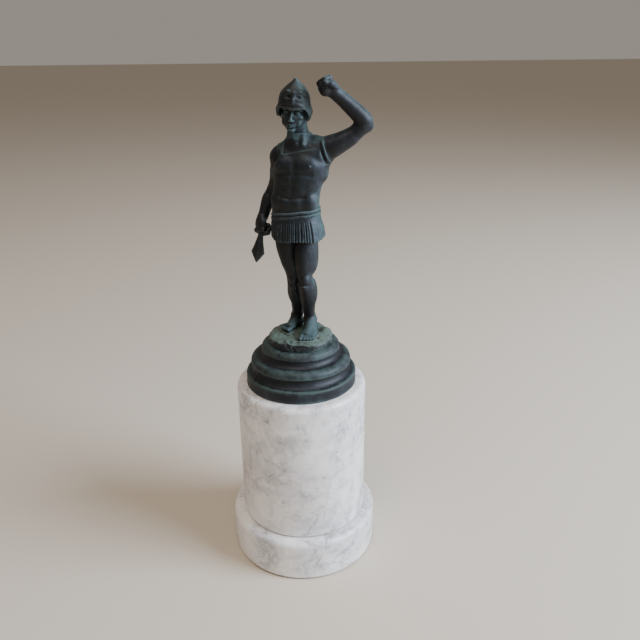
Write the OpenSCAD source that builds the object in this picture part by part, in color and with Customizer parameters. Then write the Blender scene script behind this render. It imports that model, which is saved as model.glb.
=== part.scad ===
// Figure trophy: a helmeted warrior cast in sections, standing on a rocky mound, a stepped bronze
// socle, a marble column and a marble plinth. One tie rod clamps the whole stack together.
// Units are millimetres, +Z is up, and the origin is the centre of the face the trophy rests on.
// The warrior faces -Y, with the hips and shoulders turned a little towards -X.

/* [Marble base] */
// Diameter of the plinth, the lowest disc of marble
plinth_d = 80; // [76:1:96]
// Thickness of the plinth
plinth_h = 22.6; // [20:0.2:30]
// Diameter of the marble column
column_d = 68.4; // [64:0.2:72]
// Height of the marble column
column_h = 78; // [50:1:110]
// Rounding of the marble's upper edges
marble_edge = 2.8; // [1:0.1:3]

/* [Bronze socle] */
// Diameter of the socle's lowest step
socle_d = 57.8; // [54:0.2:60]
// Diameter of the socle's middle step
socle_mid_d = 52.4; // [50:0.2:53]
// Diameter of the socle's top step
socle_top_d = 40.8; // [40:0.2:44]
// Height of the socle
socle_h = 22.6; // [22:0.1:26]

/* [Figure] */
// Size of the warrior against its usual height of 125 mm from sole to helmet
figure_scale = 1; // [0.9:0.01:1.05]
// Turn of the hips and shoulders away from the front, in degrees
body_turn = 17; // [10:1:24]
// Number of hanging strips round the skirt
strip_count = 26; // [20:1:32]

/* [Fixings] */
// Diameter of the tie rod
rod_d = 6; // [5:0.5:6]
// Diameter of the dowels between the figure's castings
dowel_d = 2; // [1.5:0.1:2.4]

/* [Hidden] */
$fn = 96;

bronze = [0.16, 0.21, 0.22];
marble = [0.90, 0.88, 0.87];
steel = [0.55, 0.56, 0.58];
brass = [0.70, 0.57, 0.30];

// Running gap between a pin or rod and its hole, and the gap round a loose internal part
gap = 0.05;
loose = 0.3;

// The stack, from the table up
felt_h = 0.8;
felt_d = plinth_d - 3;
plinth_z = felt_h;
bedding_z = plinth_z + plinth_h;
bedding_h = 0.4;
column_z = bedding_z + bedding_h;
socle_z = column_z + column_h;
mound_z = socle_z + socle_h;
ground = 4.1;
ground_z = mound_z + ground;
plinth_foot_edge = 1;
column_foot_edge = 0.8;

// Tie rod, nut and the counterbore that hides them
counterbore_d = 26;
counterbore_h = 11.5;
rod_hole_d = rod_d + 2.5;
rod_low_z = plinth_z + 2.2;
washer_d = 22;
washer_h = 1.6;
spring_d = 11;
spring_h = 1.5;
nut_across = 11.5;
nut_h = 5;
seat_z = plinth_z + counterbore_h;

// Socle section
socle_wall = 2.6;
spigot_d = 27;
spigot_h = 3.6;
insert_d = 9;
insert_h = 7.5;
insert_z = mound_z + 1.6 - insert_h;
mound_d = socle_top_d - 7;

// The figure's skeleton, measured from the soles, in the figure's own millimetres
r_hip = [-6, 3.8, 57.5];
r_knee = [-2, 2.4, 29];
r_ankle = [-1.3, 9, 7];
l_hip = [4.6, 0.8, 58.5];
l_knee = [3.3, -2, 31];
l_ankle = [5.4, 4.2, 6];
r_shoulder = [-8.2, 4.6, 88.7];
r_elbow = [-12.8, 12.5, 70.6];
r_wrist = [-17.6, 9.4, 58.2];
r_fist = [-18.1, 7.8, 53.4];
l_shoulder = [13.6, -1.8, 93.6];
l_elbow = [32, -4, 103.4];
l_wrist = [17.6, -6.8, 117.8];
l_hand = [11, -8.6, 121.8];
neck_base = [1.4, 2, 96];
head_c = [-0.4, -0.2, 109];
head_turn = -9;
head_tilt = 6;
waist_z = 61.4;

// Where the castings meet: a point on the joint face, and the way that face looks
r_arm_cut = [r_shoulder + [1.4, -0.4, 0], [-cos(body_turn), sin(body_turn), 0.12]];
l_arm_cut = [l_shoulder + [2, -0.4, 0.2], [cos(body_turn), -sin(body_turn), 0.3]];
hip_cut_z = 58.5;
neck_cut_z = 97.4;
wrist_tang = 5;
tang_d = 1.1;

// ---- Small functions -------------------------------------------------------------------

function unit(v) = v / norm(v);
function xyz(p) = [p[0], p[1], p[2]];
function at(p, r) = [p[0], p[1], p[2], r];
function mix(a, b, t) = a + (b - a) * t;

// A smooth curve through the points of P, with n steps from each point to the next
function bend(a, b, c, d, t) =
    0.5 * (2 * b + (c - a) * t + (2 * a - 5 * b + 4 * c - d) * t * t
        + (3 * b - a - 3 * c + d) * t * t * t);
function curve(P, n) = [
    for (i = [0 : len(P) - 2], k = [0 : n - 1])
        bend(P[max(i - 1, 0)], P[i], P[i + 1], P[min(i + 2, len(P) - 1)], k / n),
    P[len(P) - 1]
];

// Points of an arc in a section, from angle a to angle b
function arc(x, z, rx, rz, a, b, n = 8) =
    [for (i = [0 : n]) let (t = mix(a, b, i / n)) [x + rx * cos(t), z + rz * sin(t)]];

// The triangles that skin a stack of rings, each of m points
function skin(rings, m) = concat(
    [[for (j = [0 : m - 1]) j]],
    [for (i = [0 : rings - 2], j = [0 : m - 1]) [i * m + j, (i + 1) * m + j, i * m + (j + 1) % m]],
    [for (i = [0 : rings - 2], j = [0 : m - 1])
        [i * m + (j + 1) % m, (i + 1) * m + j, (i + 1) * m + (j + 1) % m]],
    [[for (j = [m - 1 : -1 : 0]) (rings - 1) * m + j]]
);

// A round limb along the curve through stations [x, y, z, radius]
module limb(stations, sides = 16, steps = 3) {
    path = curve(stations, steps);
    last = len(path) - 1;
    points = [
        for (i = [0 : last])
            let (
                along = unit(xyz(path[min(i + 1, last)]) - xyz(path[max(i - 1, 0)])),
                across = unit(cross(along, [0, 1, 0.02])),
                other = cross(along, across)
            )
            for (j = [0 : sides - 1])
                let (a = 360 * j / sides)
                xyz(path[i]) + path[i][3] * (cos(a) * across + sin(a) * other)
    ];
    polyhedron(points, skin(last + 1, sides));
}

// An upright body through level sections [x, y, z, half width, half depth], lowest first and
// turned by body_turn.
// Each section is squarer than an ellipse by the power given.
module trunk(sections, sides = 32, steps = 3, power = 0.86) {
    rings = curve(sections, steps);
    points = [
        for (s = rings, j = [0 : sides - 1])
            let (
                a = 360 * j / sides,
                u = s[3] * sign(cos(a)) * pow(abs(cos(a)), power),
                v = s[4] * sign(sin(a)) * pow(abs(sin(a)), power)
            )
            [s[0] + u * cos(body_turn) + v * sin(body_turn),
                s[1] - u * sin(body_turn) + v * cos(body_turn), s[2]]
    ];
    polyhedron(points, skin(len(rings), sides));
}

// Everything on the far side of a joint face
module beyond(cut) {
    reach = 60;
    n = unit(cut[1]);
    translate(cut[0])
        rotate([0, acos(n[2]), atan2(n[1], n[0])])
            translate([-reach, -reach, 0])
                cube([2 * reach, 2 * reach, 2 * reach]);
}

module ball(p, r) {
    translate(p) sphere(r = r, $fn = r < 1.3 ? 8 : r < 3 ? 12 : 16);
}

// A round-ended bar from a to b
module rod_between(a, b, ra, rb, sides = 12) {
    n = unit(b - a);
    across = unit(cross(n, [0.1, 1, 0.02]));
    other = cross(n, across);
    rings = concat(
        [for (t = [-72, -36, 0]) [a + ra * sin(t) * n, ra * cos(t)]],
        [for (t = [0, 36, 72]) [b + rb * sin(t) * n, rb * cos(t)]]
    );
    points = [
        for (ring = rings, j = [0 : sides - 1])
            let (t = 360 * j / sides)
            ring[0] + ring[1] * (cos(t) * across + sin(t) * other)
    ];
    polyhedron(points, skin(len(rings), sides));
}

// A straight pin of a given diameter that starts at p and runs along v for a length
module pin(p, v, d, length) {
    n = unit(v);
    translate(p)
        rotate([0, acos(n[2]), atan2(n[1], n[0])])
            cylinder(h = length, d = d, $fn = 48);
}

module figure() {
    translate([0, 0, ground_z]) scale(figure_scale) children();
}

module disc(d, h, foot, top) {
    r = d / 2;
    rotate_extrude()
        polygon(concat(
            [[0, 0]],
            arc(r - foot, foot, foot, foot, -90, 0, 6),
            arc(r - top, h - top, top, top, 0, 90, 10),
            [[0, h]]
        ));
}

// ---- Base ------------------------------------------------------------------------------

module felt_pad() {
    color("darkolivegreen")
        cylinder(h = felt_h, d = felt_d);
}

module plinth() {
    color(marble)
        translate([0, 0, plinth_z])
            difference() {
                disc(plinth_d, plinth_h, plinth_foot_edge, marble_edge);
                translate([0, 0, -1]) cylinder(h = plinth_h + 2, d = rod_hole_d);
                translate([0, 0, -1]) cylinder(h = counterbore_h + 1, d = counterbore_d);
            }
}

module bedding() {
    color([0.78, 0.68, 0.50])
        translate([0, 0, bedding_z])
            difference() {
                cylinder(h = bedding_h, d = column_d - 1.2);
                translate([0, 0, -1]) cylinder(h = bedding_h + 2, d = rod_hole_d + 6);
            }
}

module column() {
    color(marble)
        translate([0, 0, column_z])
            difference() {
                disc(column_d, column_h, column_foot_edge, marble_edge);
                translate([0, 0, -1]) cylinder(h = column_h + 2, d = rod_hole_d);
            }
}

// Heights in the socle's section, as shares of its height
function step_z(share) = socle_h * share;

// Outline of the socle from its foot to its top face: three steps, the upper two swelling like
// quarter rounds, with a hollow moulding under each of them
function socle_outline() =
    let (r1 = socle_d / 2, r2 = socle_mid_d / 2, r3 = socle_top_d / 2, lip = 0.5, swell = 3.1)
    concat(
        [[r1 - 0.3, 0], [r1, 0.3]],
        arc(r1 - lip, step_z(0.26), lip, lip, 0, 90, 4),
        arc(r1 - lip - 0.4, step_z(0.49), r1 - r2 + 0.6, step_z(0.205), -90, -180, 8),
        [[r2 - 0.3, step_z(0.5)], [r2, step_z(0.515)]],
        arc(r2 - swell, step_z(0.53), swell, step_z(0.145), 0, 90, 7),
        arc(r2 - swell - 0.2, step_z(0.82), r2 - r3 - swell + 0.1, step_z(0.14), -90, -180, 7),
        [[r3 - 0.3, step_z(0.83)], [r3, step_z(0.845)]],
        arc(r3 - 3.5, step_z(0.85), 3.5, step_z(0.15), 0, 90, 8)
    );

module socle() {
    color(bronze)
        translate([0, 0, socle_z])
            rotate_extrude()
                polygon(concat(
                    [[socle_d / 2 - socle_wall, 0]],
                    socle_outline(),
                    [
                        [spigot_d / 2 + loose, socle_h],
                        [spigot_d / 2 + loose, socle_h - socle_wall],
                        [socle_top_d / 2 - socle_wall - 1, socle_h - socle_wall],
                        [socle_top_d / 2 - socle_wall - 1, step_z(0.66)],
                        [socle_mid_d / 2 - socle_wall - 2.6, step_z(0.57)],
                        [socle_mid_d / 2 - socle_wall - 2.6, step_z(0.36)],
                        [socle_d / 2 - socle_wall, step_z(0.2)]
                    ]
                ));
}

// Height of the rock above the socle at a place on the mound
function lump(x, y, cx, cy, r, h) = h * exp(-(pow(x - cx, 2) + pow(y - cy, 2)) / (r * r));
function rock(x, y) =
    ground + 0.05 * y
        + lump(x, y, 13.5, 1, 4, 1.5)
        + lump(x, y, 8, 12, 6, 1.2)
        + lump(x, y, -9, 8, 6, 0.7)
        + 0.25 * sin(60 * x) * cos(47 * y);

module mound_rock() {
    sides = 36;
    shares = [1, 1, 0.97, 0.86, 0.7, 0.52, 0.32, 0.12];
    last = len(shares) - 1;
    points = [
        for (i = [0 : last], j = [0 : sides - 1])
            let (
                a = 360 * j / sides,
                wave = 1 - 0.012 * (1 + sin(5 * a)) * (i > 0 ? 1 : 0),
                x = mound_d / 2 * shares[i] * wave * cos(a),
                y = mound_d / 2 * shares[i] * wave * sin(a),
                top = rock(x, y),
                z = i == 0 ? 0 : i == 1 ? 1.8 : i == 2 ? 0.82 * top : i == last ? rock(0, 0) : top
            )
            [x, y, z]
    ];
    polyhedron(points, skin(last + 1, sides));
}

module mound() {
    color(bronze)
        translate([0, 0, mound_z])
            difference() {
                union() {
                    mound_rock();
                    translate([0, 0, -spigot_h]) cylinder(h = spigot_h + 1, d = spigot_d);
                }
                translate([0, 0, insert_z - mound_z - 1])
                    cylinder(h = insert_h + 1, d = insert_d + 2 * gap);
                translate([0, 0, ground])
                    scale(figure_scale) {
                        footprint(l_heel, l_tip);
                        footprint(r_heel, r_tip);
                        foot_pin_holes();
                    }
            }
}

module mound_insert() {
    color(brass)
        translate([0, 0, insert_z])
            difference() {
                cylinder(h = insert_h, d = insert_d);
                translate([0, 0, -1]) cylinder(h = insert_h, d = rod_d + 2 * gap);
            }
}

module tie_rod() {
    color(steel)
        translate([0, 0, rod_low_z])
            cylinder(h = insert_z + insert_h - 1.5 - rod_low_z, d = rod_d);
}

module plinth_washer() {
    color(steel)
        translate([0, 0, seat_z - washer_h])
            difference() {
                cylinder(h = washer_h, d = washer_d);
                translate([0, 0, -1]) cylinder(h = washer_h + 2, d = rod_d + 0.6);
            }
}

// The split ring between nut and washer, shown closed up as it is when the nut is tight
module spring_washer() {
    color(steel)
        translate([0, 0, seat_z - washer_h - spring_h])
            difference() {
                cylinder(h = spring_h, d = spring_d);
                translate([0, 0, -1]) cylinder(h = spring_h + 2, d = rod_d + 0.4);
                rotate([20, 0, 0]) translate([0, -0.3, -2]) cube([spring_d, 0.6, spring_h + 4]);
            }
}

module hex_nut() {
    color(steel)
        translate([0, 0, seat_z - washer_h - spring_h - nut_h])
            difference() {
                cylinder(h = nut_h, d = nut_across, $fn = 6);
                translate([0, 0, -1]) cylinder(h = nut_h + 2, d = rod_d + 2 * gap);
            }
}

// ---- Legs ------------------------------------------------------------------------------

// One bare foot: heel at the ankle's foot, toes at the ends of a fan across the given tip
module foot(ankle, heel, tip, side) {
    out = unit(cross([0, 0, 1], tip - heel)) * side;
    arch = mix(heel, tip, 0.45);
    rod_between(heel + [0, 0, 2.3], ankle, 2.4, 2.7);
    hull() {
        ball(heel + [0, 0, 2.1], 2.2);
        ball(arch + [0, 0, 2.2], 2.2);
        ball(ankle + [0, 0, -1], 2.5);
    }
    hull() {
        ball(arch + [0, 0, 2.1], 2.2);
        ball(mix(heel, tip, 0.74) + 1.5 * out + [0, 0, 1.3], 1.5);
        ball(mix(heel, tip, 0.78) - 1.6 * out + [0, 0, 1.5], 1.7);
    }
    for (k = [0 : 4])
        rod_between(
            mix(heel, tip, 0.74) + (1.6 - 0.95 * k) * out + [0, 0, 1.2],
            mix(heel, tip, 0.9 + 0.035 * k) + (2.2 - 1.05 * k) * out + [0, 0, 0.75 + 0.06 * k],
            0.85 + 0.06 * k, 0.6 + 0.07 * k
        );
}

// The shallow socket in the rock that takes a foot
module footprint(heel, tip) {
    out = unit(cross([0, 0, 1], tip - heel));
    hull() {
        ball(heel + [0, 0, 2.1], 2.6);
        ball(mix(heel, tip, 0.76) + 1.6 * out + [0, 0, 1.5], 2);
        ball(mix(heel, tip, 0.76) - 1.6 * out + [0, 0, 1.5], 2);
        ball(mix(heel, tip, 0.99) + 1.6 * out + [0, 0, 1.2], 1.6);
        ball(mix(heel, tip, 0.99) - 1.6 * out + [0, 0, 1.2], 1.6);
    }
}

l_heel = [6.4, 6.8, -0.1];
l_tip = [2, -10.2, -1.2];
r_heel = [0.2, 11.8, 0.3];
r_tip = [-9.6, -0.6, 0];

module left_foot() {
    foot(l_ankle, l_heel, l_tip, 1);
}

module right_foot() {
    foot(r_ankle, r_heel, r_tip, -1);
}

module left_leg_limb() {
    limb([
        at([3.6, 1, hip_cut_z + 2], 5.9),
        at([3.8, 0.6, 52], 6.2),
        at([3.4, -0.6, 42], 5.5),
        at(l_knee + [0, 0.3, 4], 4.3),
        at(l_knee + [0, 0.2, -2], 3.9),
        at(mix(l_knee, l_ankle, 0.34) + [0.7, 1.3, 0], 4.5),
        at(mix(l_knee, l_ankle, 0.68) + [0.4, 0.6, 0], 3.2),
        at(mix(l_knee, l_ankle, 0.9), 2.5),
        at(l_ankle, 2.6)
    ]);
}

module right_leg_shape() {
    limb([
        at([-6, 3.6, hip_cut_z + 2], 5.8),
        at([-5.4, 3.6, 51], 6),
        at([-4.2, 3, 41], 5.1),
        at(r_knee + [-0.2, 0.3, 4], 4),
        at(r_knee + [0.1, 0.4, -2], 3.8),
        at(mix(r_knee, r_ankle, 0.34) + [0, 1.3, 0], 4.2),
        at(mix(r_knee, r_ankle, 0.68) + [0, 0.6, 0], 3),
        at(mix(r_knee, r_ankle, 0.9), 2.5),
        at(r_ankle, 2.6)
    ]);
    right_foot();
}

// The pins run down from inside the heels, through the rock, to riveted ends in the socle
foot_pin_d = 2;
foot_pin_up = 5;
function foot_pin_places() = [mix(l_heel, l_tip, 0.08), mix(r_heel, r_tip, 0.1)];
module foot_pin_row(d) {
    for (p = foot_pin_places())
        translate([p[0], p[1], -ground - 3]) {
            cylinder(h = ground + 3 + foot_pin_up, d = d, $fn = 48);
            if (d == foot_pin_d) cylinder(h = 1, d = d * 1.8, $fn = 48);
        }
}

module foot_pin_holes() {
    foot_pin_row(foot_pin_d + 2 * gap);
    for (p = foot_pin_places())
        translate([p[0], p[1], -ground - 8]) cylinder(h = 6, d = foot_pin_d * 1.8 + 0.4, $fn = 48);
}

module foot_pins() {
    color(steel) figure() foot_pin_row(foot_pin_d);
}

module leg_left() {
    color(bronze)
        figure()
            difference() {
                union() {
                    left_leg_limb();
                    left_foot();
                }
                beyond([[0, 0, hip_cut_z], [0, 0, 1]]);
                dowel_holes();
                foot_pin_row(foot_pin_d + 2 * gap);
            }
}

module leg_right() {
    color(bronze)
        figure()
            difference() {
                right_leg_shape();
                beyond([[0, 0, hip_cut_z], [0, 0, 1]]);
                left_leg_limb();
                dowel_holes();
                foot_pin_row(foot_pin_d + 2 * gap);
            }
}

// ---- Skirt, belt and torso -------------------------------------------------------------

// Skirt sections, each grown outwards by g
function skirt_sections(g) = [
    [-0.6, 1.8, 51, 12.2 + g, 9.8 + g],
    [-0.8, 2, 56, 11.9 + g, 9.3 + g],
    [-1.1, 2.1, 61, 11.6 + g, 8.6 + g],
    [-1, 2.2, 64, 11.4 + g, 8.2 + g]
];

// The outside of the skirt: a ring of hanging strips, each standing proud of the grooves beside
// it and hanging a little lower than them
module strips() {
    strip_depth = 0.9;
    profile = [0, 1, 1, 0];
    spread = [-0.44, -0.3, 0.3, 0.44];
    rings = curve(skirt_sections(0), 2);
    points = [
        for (i = [0 : len(rings) - 1], k = [0 : strip_count - 1], j = [0 : 3])
            let (
                s = rings[i],
                a = 360 * (k + spread[j]) / strip_count,
                fade = min(1, (len(rings) - 1 - i) / 2),
                u = s[3] + strip_depth * fade * profile[j],
                v = s[4] + strip_depth * fade * profile[j],
                drop = i == 0 ? -0.8 * profile[j] : 0
            )
            [s[0] + u * cos(a) * cos(body_turn) + v * sin(a) * sin(body_turn),
                s[1] - u * cos(a) * sin(body_turn) + v * sin(a) * cos(body_turn), s[2] + drop]
    ];
    rim = 4 * strip_count;
    floor_point = [skirt_sections(0)[0][0], skirt_sections(0)[0][1], skirt_sections(0)[0][2]];
    sides = skin(len(rings), rim);
    polyhedron(
        concat(points, [floor_point]),
        concat(
            [for (j = [0 : rim - 1]) [len(points), j, (j + 1) % rim]],
            [for (k = [1 : len(sides) - 1]) sides[k]]
        )
    );
}

module skirt() {
    color(bronze)
        figure()
            difference() {
                strips();
                beyond([[0, 0, waist_z], [0, 0, 1]]);
                intersection() {
                    trunk([for (s = skirt_sections(-1.2)) s - [0, 0, s[2] < 52 ? 3 : 0, 0, 0]], 26);
                    translate([-40, -40, 40]) cube([80, 80, hip_cut_z - 40]);
                }
                dowel_holes();
            }
}

function torso_sections() = [
    [-0.9, 2.1, waist_z - 1, 11.5, 8.3],
    [-0.9, 2, 66, 11.3, 8],
    [-0.5, 1.7, 71.5, 11.5, 8.1],
    [0.6, 1.4, 77.3, 11.9, 8.4],
    [1.9, 1.2, 83, 13.1, 8.9],
    [2.3, 1.4, 87, 13.6, 8.7],
    [2.3, 1.8, 91, 12.4, 7.4],
    [2, 2.2, 95, 8.4, 5.8],
    [1.3, 2.2, neck_cut_z + 1.5, 5.2, 4.8]
];

// The trunk with the two breast plates of the moulded armour
module torso_trunk() {
    trunk(torso_sections(), 30, 2);
    across = [cos(body_turn), -sin(body_turn), 0.04];
    for (side = [-1, 1]) {
        breast = [1.9, 1.3, 84.6] + 5 * side * across - 4.8 * [sin(body_turn), cos(body_turn), 0];
        rod_between(breast - 1.6 * across, breast + 1.6 * across, 4.1, 4.1);
    }
}

// The roots of both shoulders, which end at the joint faces of the arms
module shoulder_roots() {
    difference() {
        union() {
            limb([
                at([3, 1.2, 88.5], 6.4),
                at(mix([3, 1.2, 88.5], l_shoulder, 0.6), 6.2),
                at(l_shoulder, 5.6),
                at(l_shoulder + [5, -1, 2], 5)
            ]);
            limb([
                at([0, 2.4, 90], 5),
                at(r_shoulder + [3.6, -0.6, 0.6], 4.6),
                at(r_shoulder, 4.2)
            ]);
        }
        beyond(r_arm_cut);
        beyond(l_arm_cut);
    }
}

module torso() {
    color(bronze)
        figure()
            difference() {
                union() {
                    torso_trunk();
                    shoulder_roots();
                }
                beyond([[0, 0, waist_z], [0, 0, -1]]);
                beyond([[0, 0, neck_cut_z], [0, 0, 1]]);
                dowel_holes();
            }
}

// Two raised bands round the waist that cover the joint between skirt and torso
module belt() {
    color(bronze)
        figure()
            difference() {
                for (band = [[waist_z + 1.9, 1.3, 1], [waist_z + 0.1, 1.4, 0.75]])
                    intersection() {
                        trunk([
                            for (z = [waist_z - 2, waist_z + 6]) [-1, 2.1, z, 11.5 + band[2], 8.3 + band[2]]
                        ], 30, 1);
                        translate([-20, -20, band[0]]) cube([40, 40, band[1]]);
                    }
                trunk([for (k = [0 : 2]) torso_sections()[k]], 30, 2);
            }
}

// ---- Arms ------------------------------------------------------------------------------

// A closed hand round the grip axis: a palm and four bent fingers, spread along the axis
module fist(centre, back, axis, size) {
    b = unit(back);
    g = unit(axis);
    curl = cross(g, b);
    for (k = [-1.5 : 1 : 1.5]) {
        knuckle = centre + k * 0.46 * size * g;
        rod_between(knuckle + 0.55 * size * b, knuckle + 0.85 * size * curl, 0.4 * size, 0.34 * size);
        rod_between(knuckle + 0.85 * size * curl, knuckle - 0.25 * size * b + 0.8 * size * curl,
            0.34 * size, 0.3 * size);
    }
    hull() {
        ball(centre + 0.9 * size * b - 0.45 * size * g, 0.5 * size);
        ball(centre + 0.9 * size * b + 0.45 * size * g, 0.5 * size);
        ball(centre + 0.2 * size * b - 0.1 * size * curl, 0.65 * size);
    }
    rod_between(centre + size * g + 0.7 * size * b, centre + 0.95 * size * g + 0.5 * size * curl,
        0.42 * size, 0.32 * size);
}

module arm_right() {
    color(bronze)
        figure()
            difference() {
                union() {
                    limb([
                        at(r_shoulder + [5, -1.6, 1.5], 4.4),
                        at(r_shoulder + [0.6, 0, 0.4], 4.2),
                        at(mix(r_shoulder, r_elbow, 0.3), 3.9),
                        at(mix(r_shoulder, r_elbow, 0.72), 3.2),
                        at(r_elbow, 3),
                        at(mix(r_elbow, r_wrist, 0.25) + [-0.3, -0.2, 0], 3.2),
                        at(mix(r_elbow, r_wrist, 0.7), 2.5),
                        at(r_wrist, 2.1),
                        at(r_fist + [0, 0, 1.5], 2.2)
                    ]);
                    fist(r_fist, r_wrist - r_fist, [0.75, -0.55, 0.1], 2.9);
                }
                beyond([r_arm_cut[0], -r_arm_cut[1]]);
                torso_trunk();
                dowel_holes();
                blade_tang(gap);
            }
}

module arm_left() {
    color(bronze)
        figure()
            difference() {
                union() {
                    limb([
                        at(l_shoulder + [-4, 0.6, -1.8], 5.6),
                        at(l_shoulder + [1, -0.2, 0.2], 5.4),
                        at(mix(l_shoulder, l_elbow, 0.45), 4.5),
                        at(mix(l_shoulder, l_elbow, 0.8), 3.9),
                        at(l_elbow + [-0.4, 0, 0.2], 3.8),
                        at(mix(l_elbow, l_wrist, 0.24), 3.9),
                        at(mix(l_elbow, l_wrist, 0.62), 3.4),
                        at(l_wrist, 3),
                        at(mix(l_wrist, l_hand, 0.6), 3)
                    ]);
                    fist(l_hand, l_wrist - l_hand, [-0.25, -0.85, -0.45], 3.2);
                }
                beyond([l_arm_cut[0], -l_arm_cut[1]]);
                torso_trunk();
                dowel_holes();
            }
}

// ---- Blade -----------------------------------------------------------------------------

blade_top = [-18.5, 7.2, 50.6];
blade_tip = [-21.4, 6.2, 36.8];
blade_wide = 2.9;
blade_thick = 1;

module blade_tang(g) {
    pin(blade_top + 0.5 * unit(blade_tip - blade_top), blade_top - blade_tip, tang_d + 2 * g, wrist_tang);
}

// The blade's sections: share of the length, half width, half thickness, each a flat diamond
blade_sections = [[0, 1.1, 0.8], [0.3, 1.5, 0.8], [0.62, blade_wide, blade_thick], [1, 0.12, 0.1]];

module blade() {
    down = unit(blade_tip - blade_top);
    wide = unit(cross(down, [0.2, 1, 0]));
    thick = cross(down, wide);
    points = [
        for (s = blade_sections, side = [[1, 0], [0, 1], [-1, 0], [0, -1]])
            mix(blade_top, blade_tip, s[0]) + side[0] * s[1] * wide + side[1] * s[2] * thick
    ];
    color(bronze)
        figure() {
            polyhedron(points, skin(len(blade_sections), 4));
            blade_tang(0);
        }
}

// ---- Head and helmet -------------------------------------------------------------------

module head_frame() {
    translate(head_c)
        rotate([6, head_tilt, head_turn])
            children();
}

// The crown of the head, which the helmet's hollow fits exactly
module crown() {
    ball([0, 1.6, 2.6], 5);
    ball([0, -1.2, 2.4], 4.5);
    ball([0, 0.6, 0], 4.9);
}

module face() {
    hull() {
        ball([0, -1.6, 0.2], 4.2);
        ball([0, -3.3, -6], 2);
        ball([2.5, -0.6, -3.8], 2.2);
        ball([-2.5, -0.6, -3.8], 2.2);
    }
    rod_between([0, -5.2, 0.2], [0, -6.1, -2], 0.6, 0.8);
    rod_between([-1.3, -4.9, -4], [1.3, -4.9, -4], 0.7, 0.7);
    rod_between([-2.6, -4.4, 0.7], [2.6, -4.4, 0.7], 0.9, 0.9);
    for (s = [-1, 1]) rod_between([2.2 * s, -4, -1.8], [3 * s, -2.8, -2.8], 1.3, 1.4);
}

module head() {
    color(bronze)
        figure()
            difference() {
                union() {
                    head_frame() {
                        hull() crown();
                        face();
                    }
                    limb([
                        at(neck_base, 5),
                        at(neck_base + [-0.4, -0.2, 3.5], 4.5),
                        at(head_c + [0.2, 1, -6.5], 4.4),
                        at(head_c + [0, 0.8, -2.5], 4.2)
                    ]);
                }
                beyond([[0, 0, neck_cut_z], [0, 0, -1]]);
                dowel_holes();
            }
}

// The helmet is pushed up on the head, so its eye openings look out over the forehead
module helmet() {
    color(bronze)
        figure()
            head_frame()
                difference() {
                    union() {
                        hull() {
                            ball([0, 1.2, 3.4], 6.9);
                            ball([0, -0.6, 3.6], 6.8);
                            ball([0, 0.4, 7], 5.8);
                            ball([0.2, -1.4, 13.4], 1.2);
                        }
                        hull() {
                            for (s = [-1, 1]) ball([5.8 * s, -4, 2.6], 0.9);
                            ball([0, -7.2, 2.9], 0.9);
                            ball([0, 0, 3], 1);
                        }
                        for (s = [-1, 1]) {
                            hull() {
                                ball([7.3 * s, -1.6, 2.2], 1);
                                ball([6.9 * s, 2.8, 0.2], 1);
                                ball([5.9 * s, 1.2, -3], 0.8);
                            }
                            rod_between([6.6 * s, 3, 0.4], [3.2 * s, 7, -1.4], 1, 1);
                            rod_between([1.2 * s, -5.2, 9.4], [2.6 * s, -6.6, 5.6], 1.2, 1);
                        }
                        rod_between([-3.2, 7, -1.4], [3.2, 7, -1.4], 1, 1);
                        rod_between([0, -5.2, 9.6], [0, -7.4, 4.6], 0.9, 0.8);
                    }
                    hull() {
                        crown();
                        translate([0, 0, -14]) crown();
                    }
                    translate([-4.9, -12, -8]) cube([9.8, 12, 9.9]);
                }
}

// ---- Dowels between the castings -------------------------------------------------------

dowel_half = 4;

// Middle and direction of each dowel: neck, both shoulders, both hips
function dowel_places() = [
    [[1.4, 1.8, neck_cut_z], [0, 0, 1]],
    r_arm_cut,
    l_arm_cut,
    [[-5.6, 3.7, hip_cut_z + 1.5], [0, 0, 1]],
    [[3.8, 1, hip_cut_z + 1.5], [0, 0, 1]]
];

module dowel_row(d, half) {
    for (p = dowel_places())
        pin(p[0] - half * unit(p[1]), p[1], d, 2 * half);
}

module dowel_holes() {
    dowel_row(dowel_d + 2 * gap, dowel_half + 0.2);
}

module locating_dowels() {
    color(brass) figure() dowel_row(dowel_d, dowel_half);
}

// ---- Output ----------------------------------------------------------------------------

felt_pad();
plinth();
bedding();
column();
socle();
mound();
mound_insert();
tie_rod();
plinth_washer();
spring_washer();
hex_nut();
leg_left();
leg_right();
foot_pins();
skirt();
belt();
torso();
arm_left();
arm_right();
blade();
head();
helmet();
locating_dowels();
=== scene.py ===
import math

import bpy
import numpy as np
import openvdb
from mathutils import Matrix, Vector


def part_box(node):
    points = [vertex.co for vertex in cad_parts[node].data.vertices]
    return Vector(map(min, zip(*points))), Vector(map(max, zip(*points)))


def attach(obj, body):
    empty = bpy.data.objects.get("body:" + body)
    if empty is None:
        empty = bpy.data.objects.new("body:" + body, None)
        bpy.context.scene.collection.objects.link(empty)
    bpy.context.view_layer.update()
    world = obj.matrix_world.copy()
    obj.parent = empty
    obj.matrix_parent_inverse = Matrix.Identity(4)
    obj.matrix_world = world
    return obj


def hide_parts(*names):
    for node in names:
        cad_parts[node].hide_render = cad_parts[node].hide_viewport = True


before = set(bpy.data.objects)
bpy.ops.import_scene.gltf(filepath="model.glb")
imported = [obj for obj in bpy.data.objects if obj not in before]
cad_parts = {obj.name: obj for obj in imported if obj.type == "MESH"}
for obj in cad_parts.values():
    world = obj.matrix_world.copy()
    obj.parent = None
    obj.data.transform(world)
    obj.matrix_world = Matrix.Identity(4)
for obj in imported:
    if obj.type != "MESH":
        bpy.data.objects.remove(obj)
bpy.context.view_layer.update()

# The figure is modelled like clay: signed distances in millimetres on a regular grid, joined and
# cut smoothly, then skinned. Its own frame has z = 0 at the soles and the CAD's X and Y.
MM = 0.001
SOLE_RISE = 4.1  # the soles above the socle's top
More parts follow.
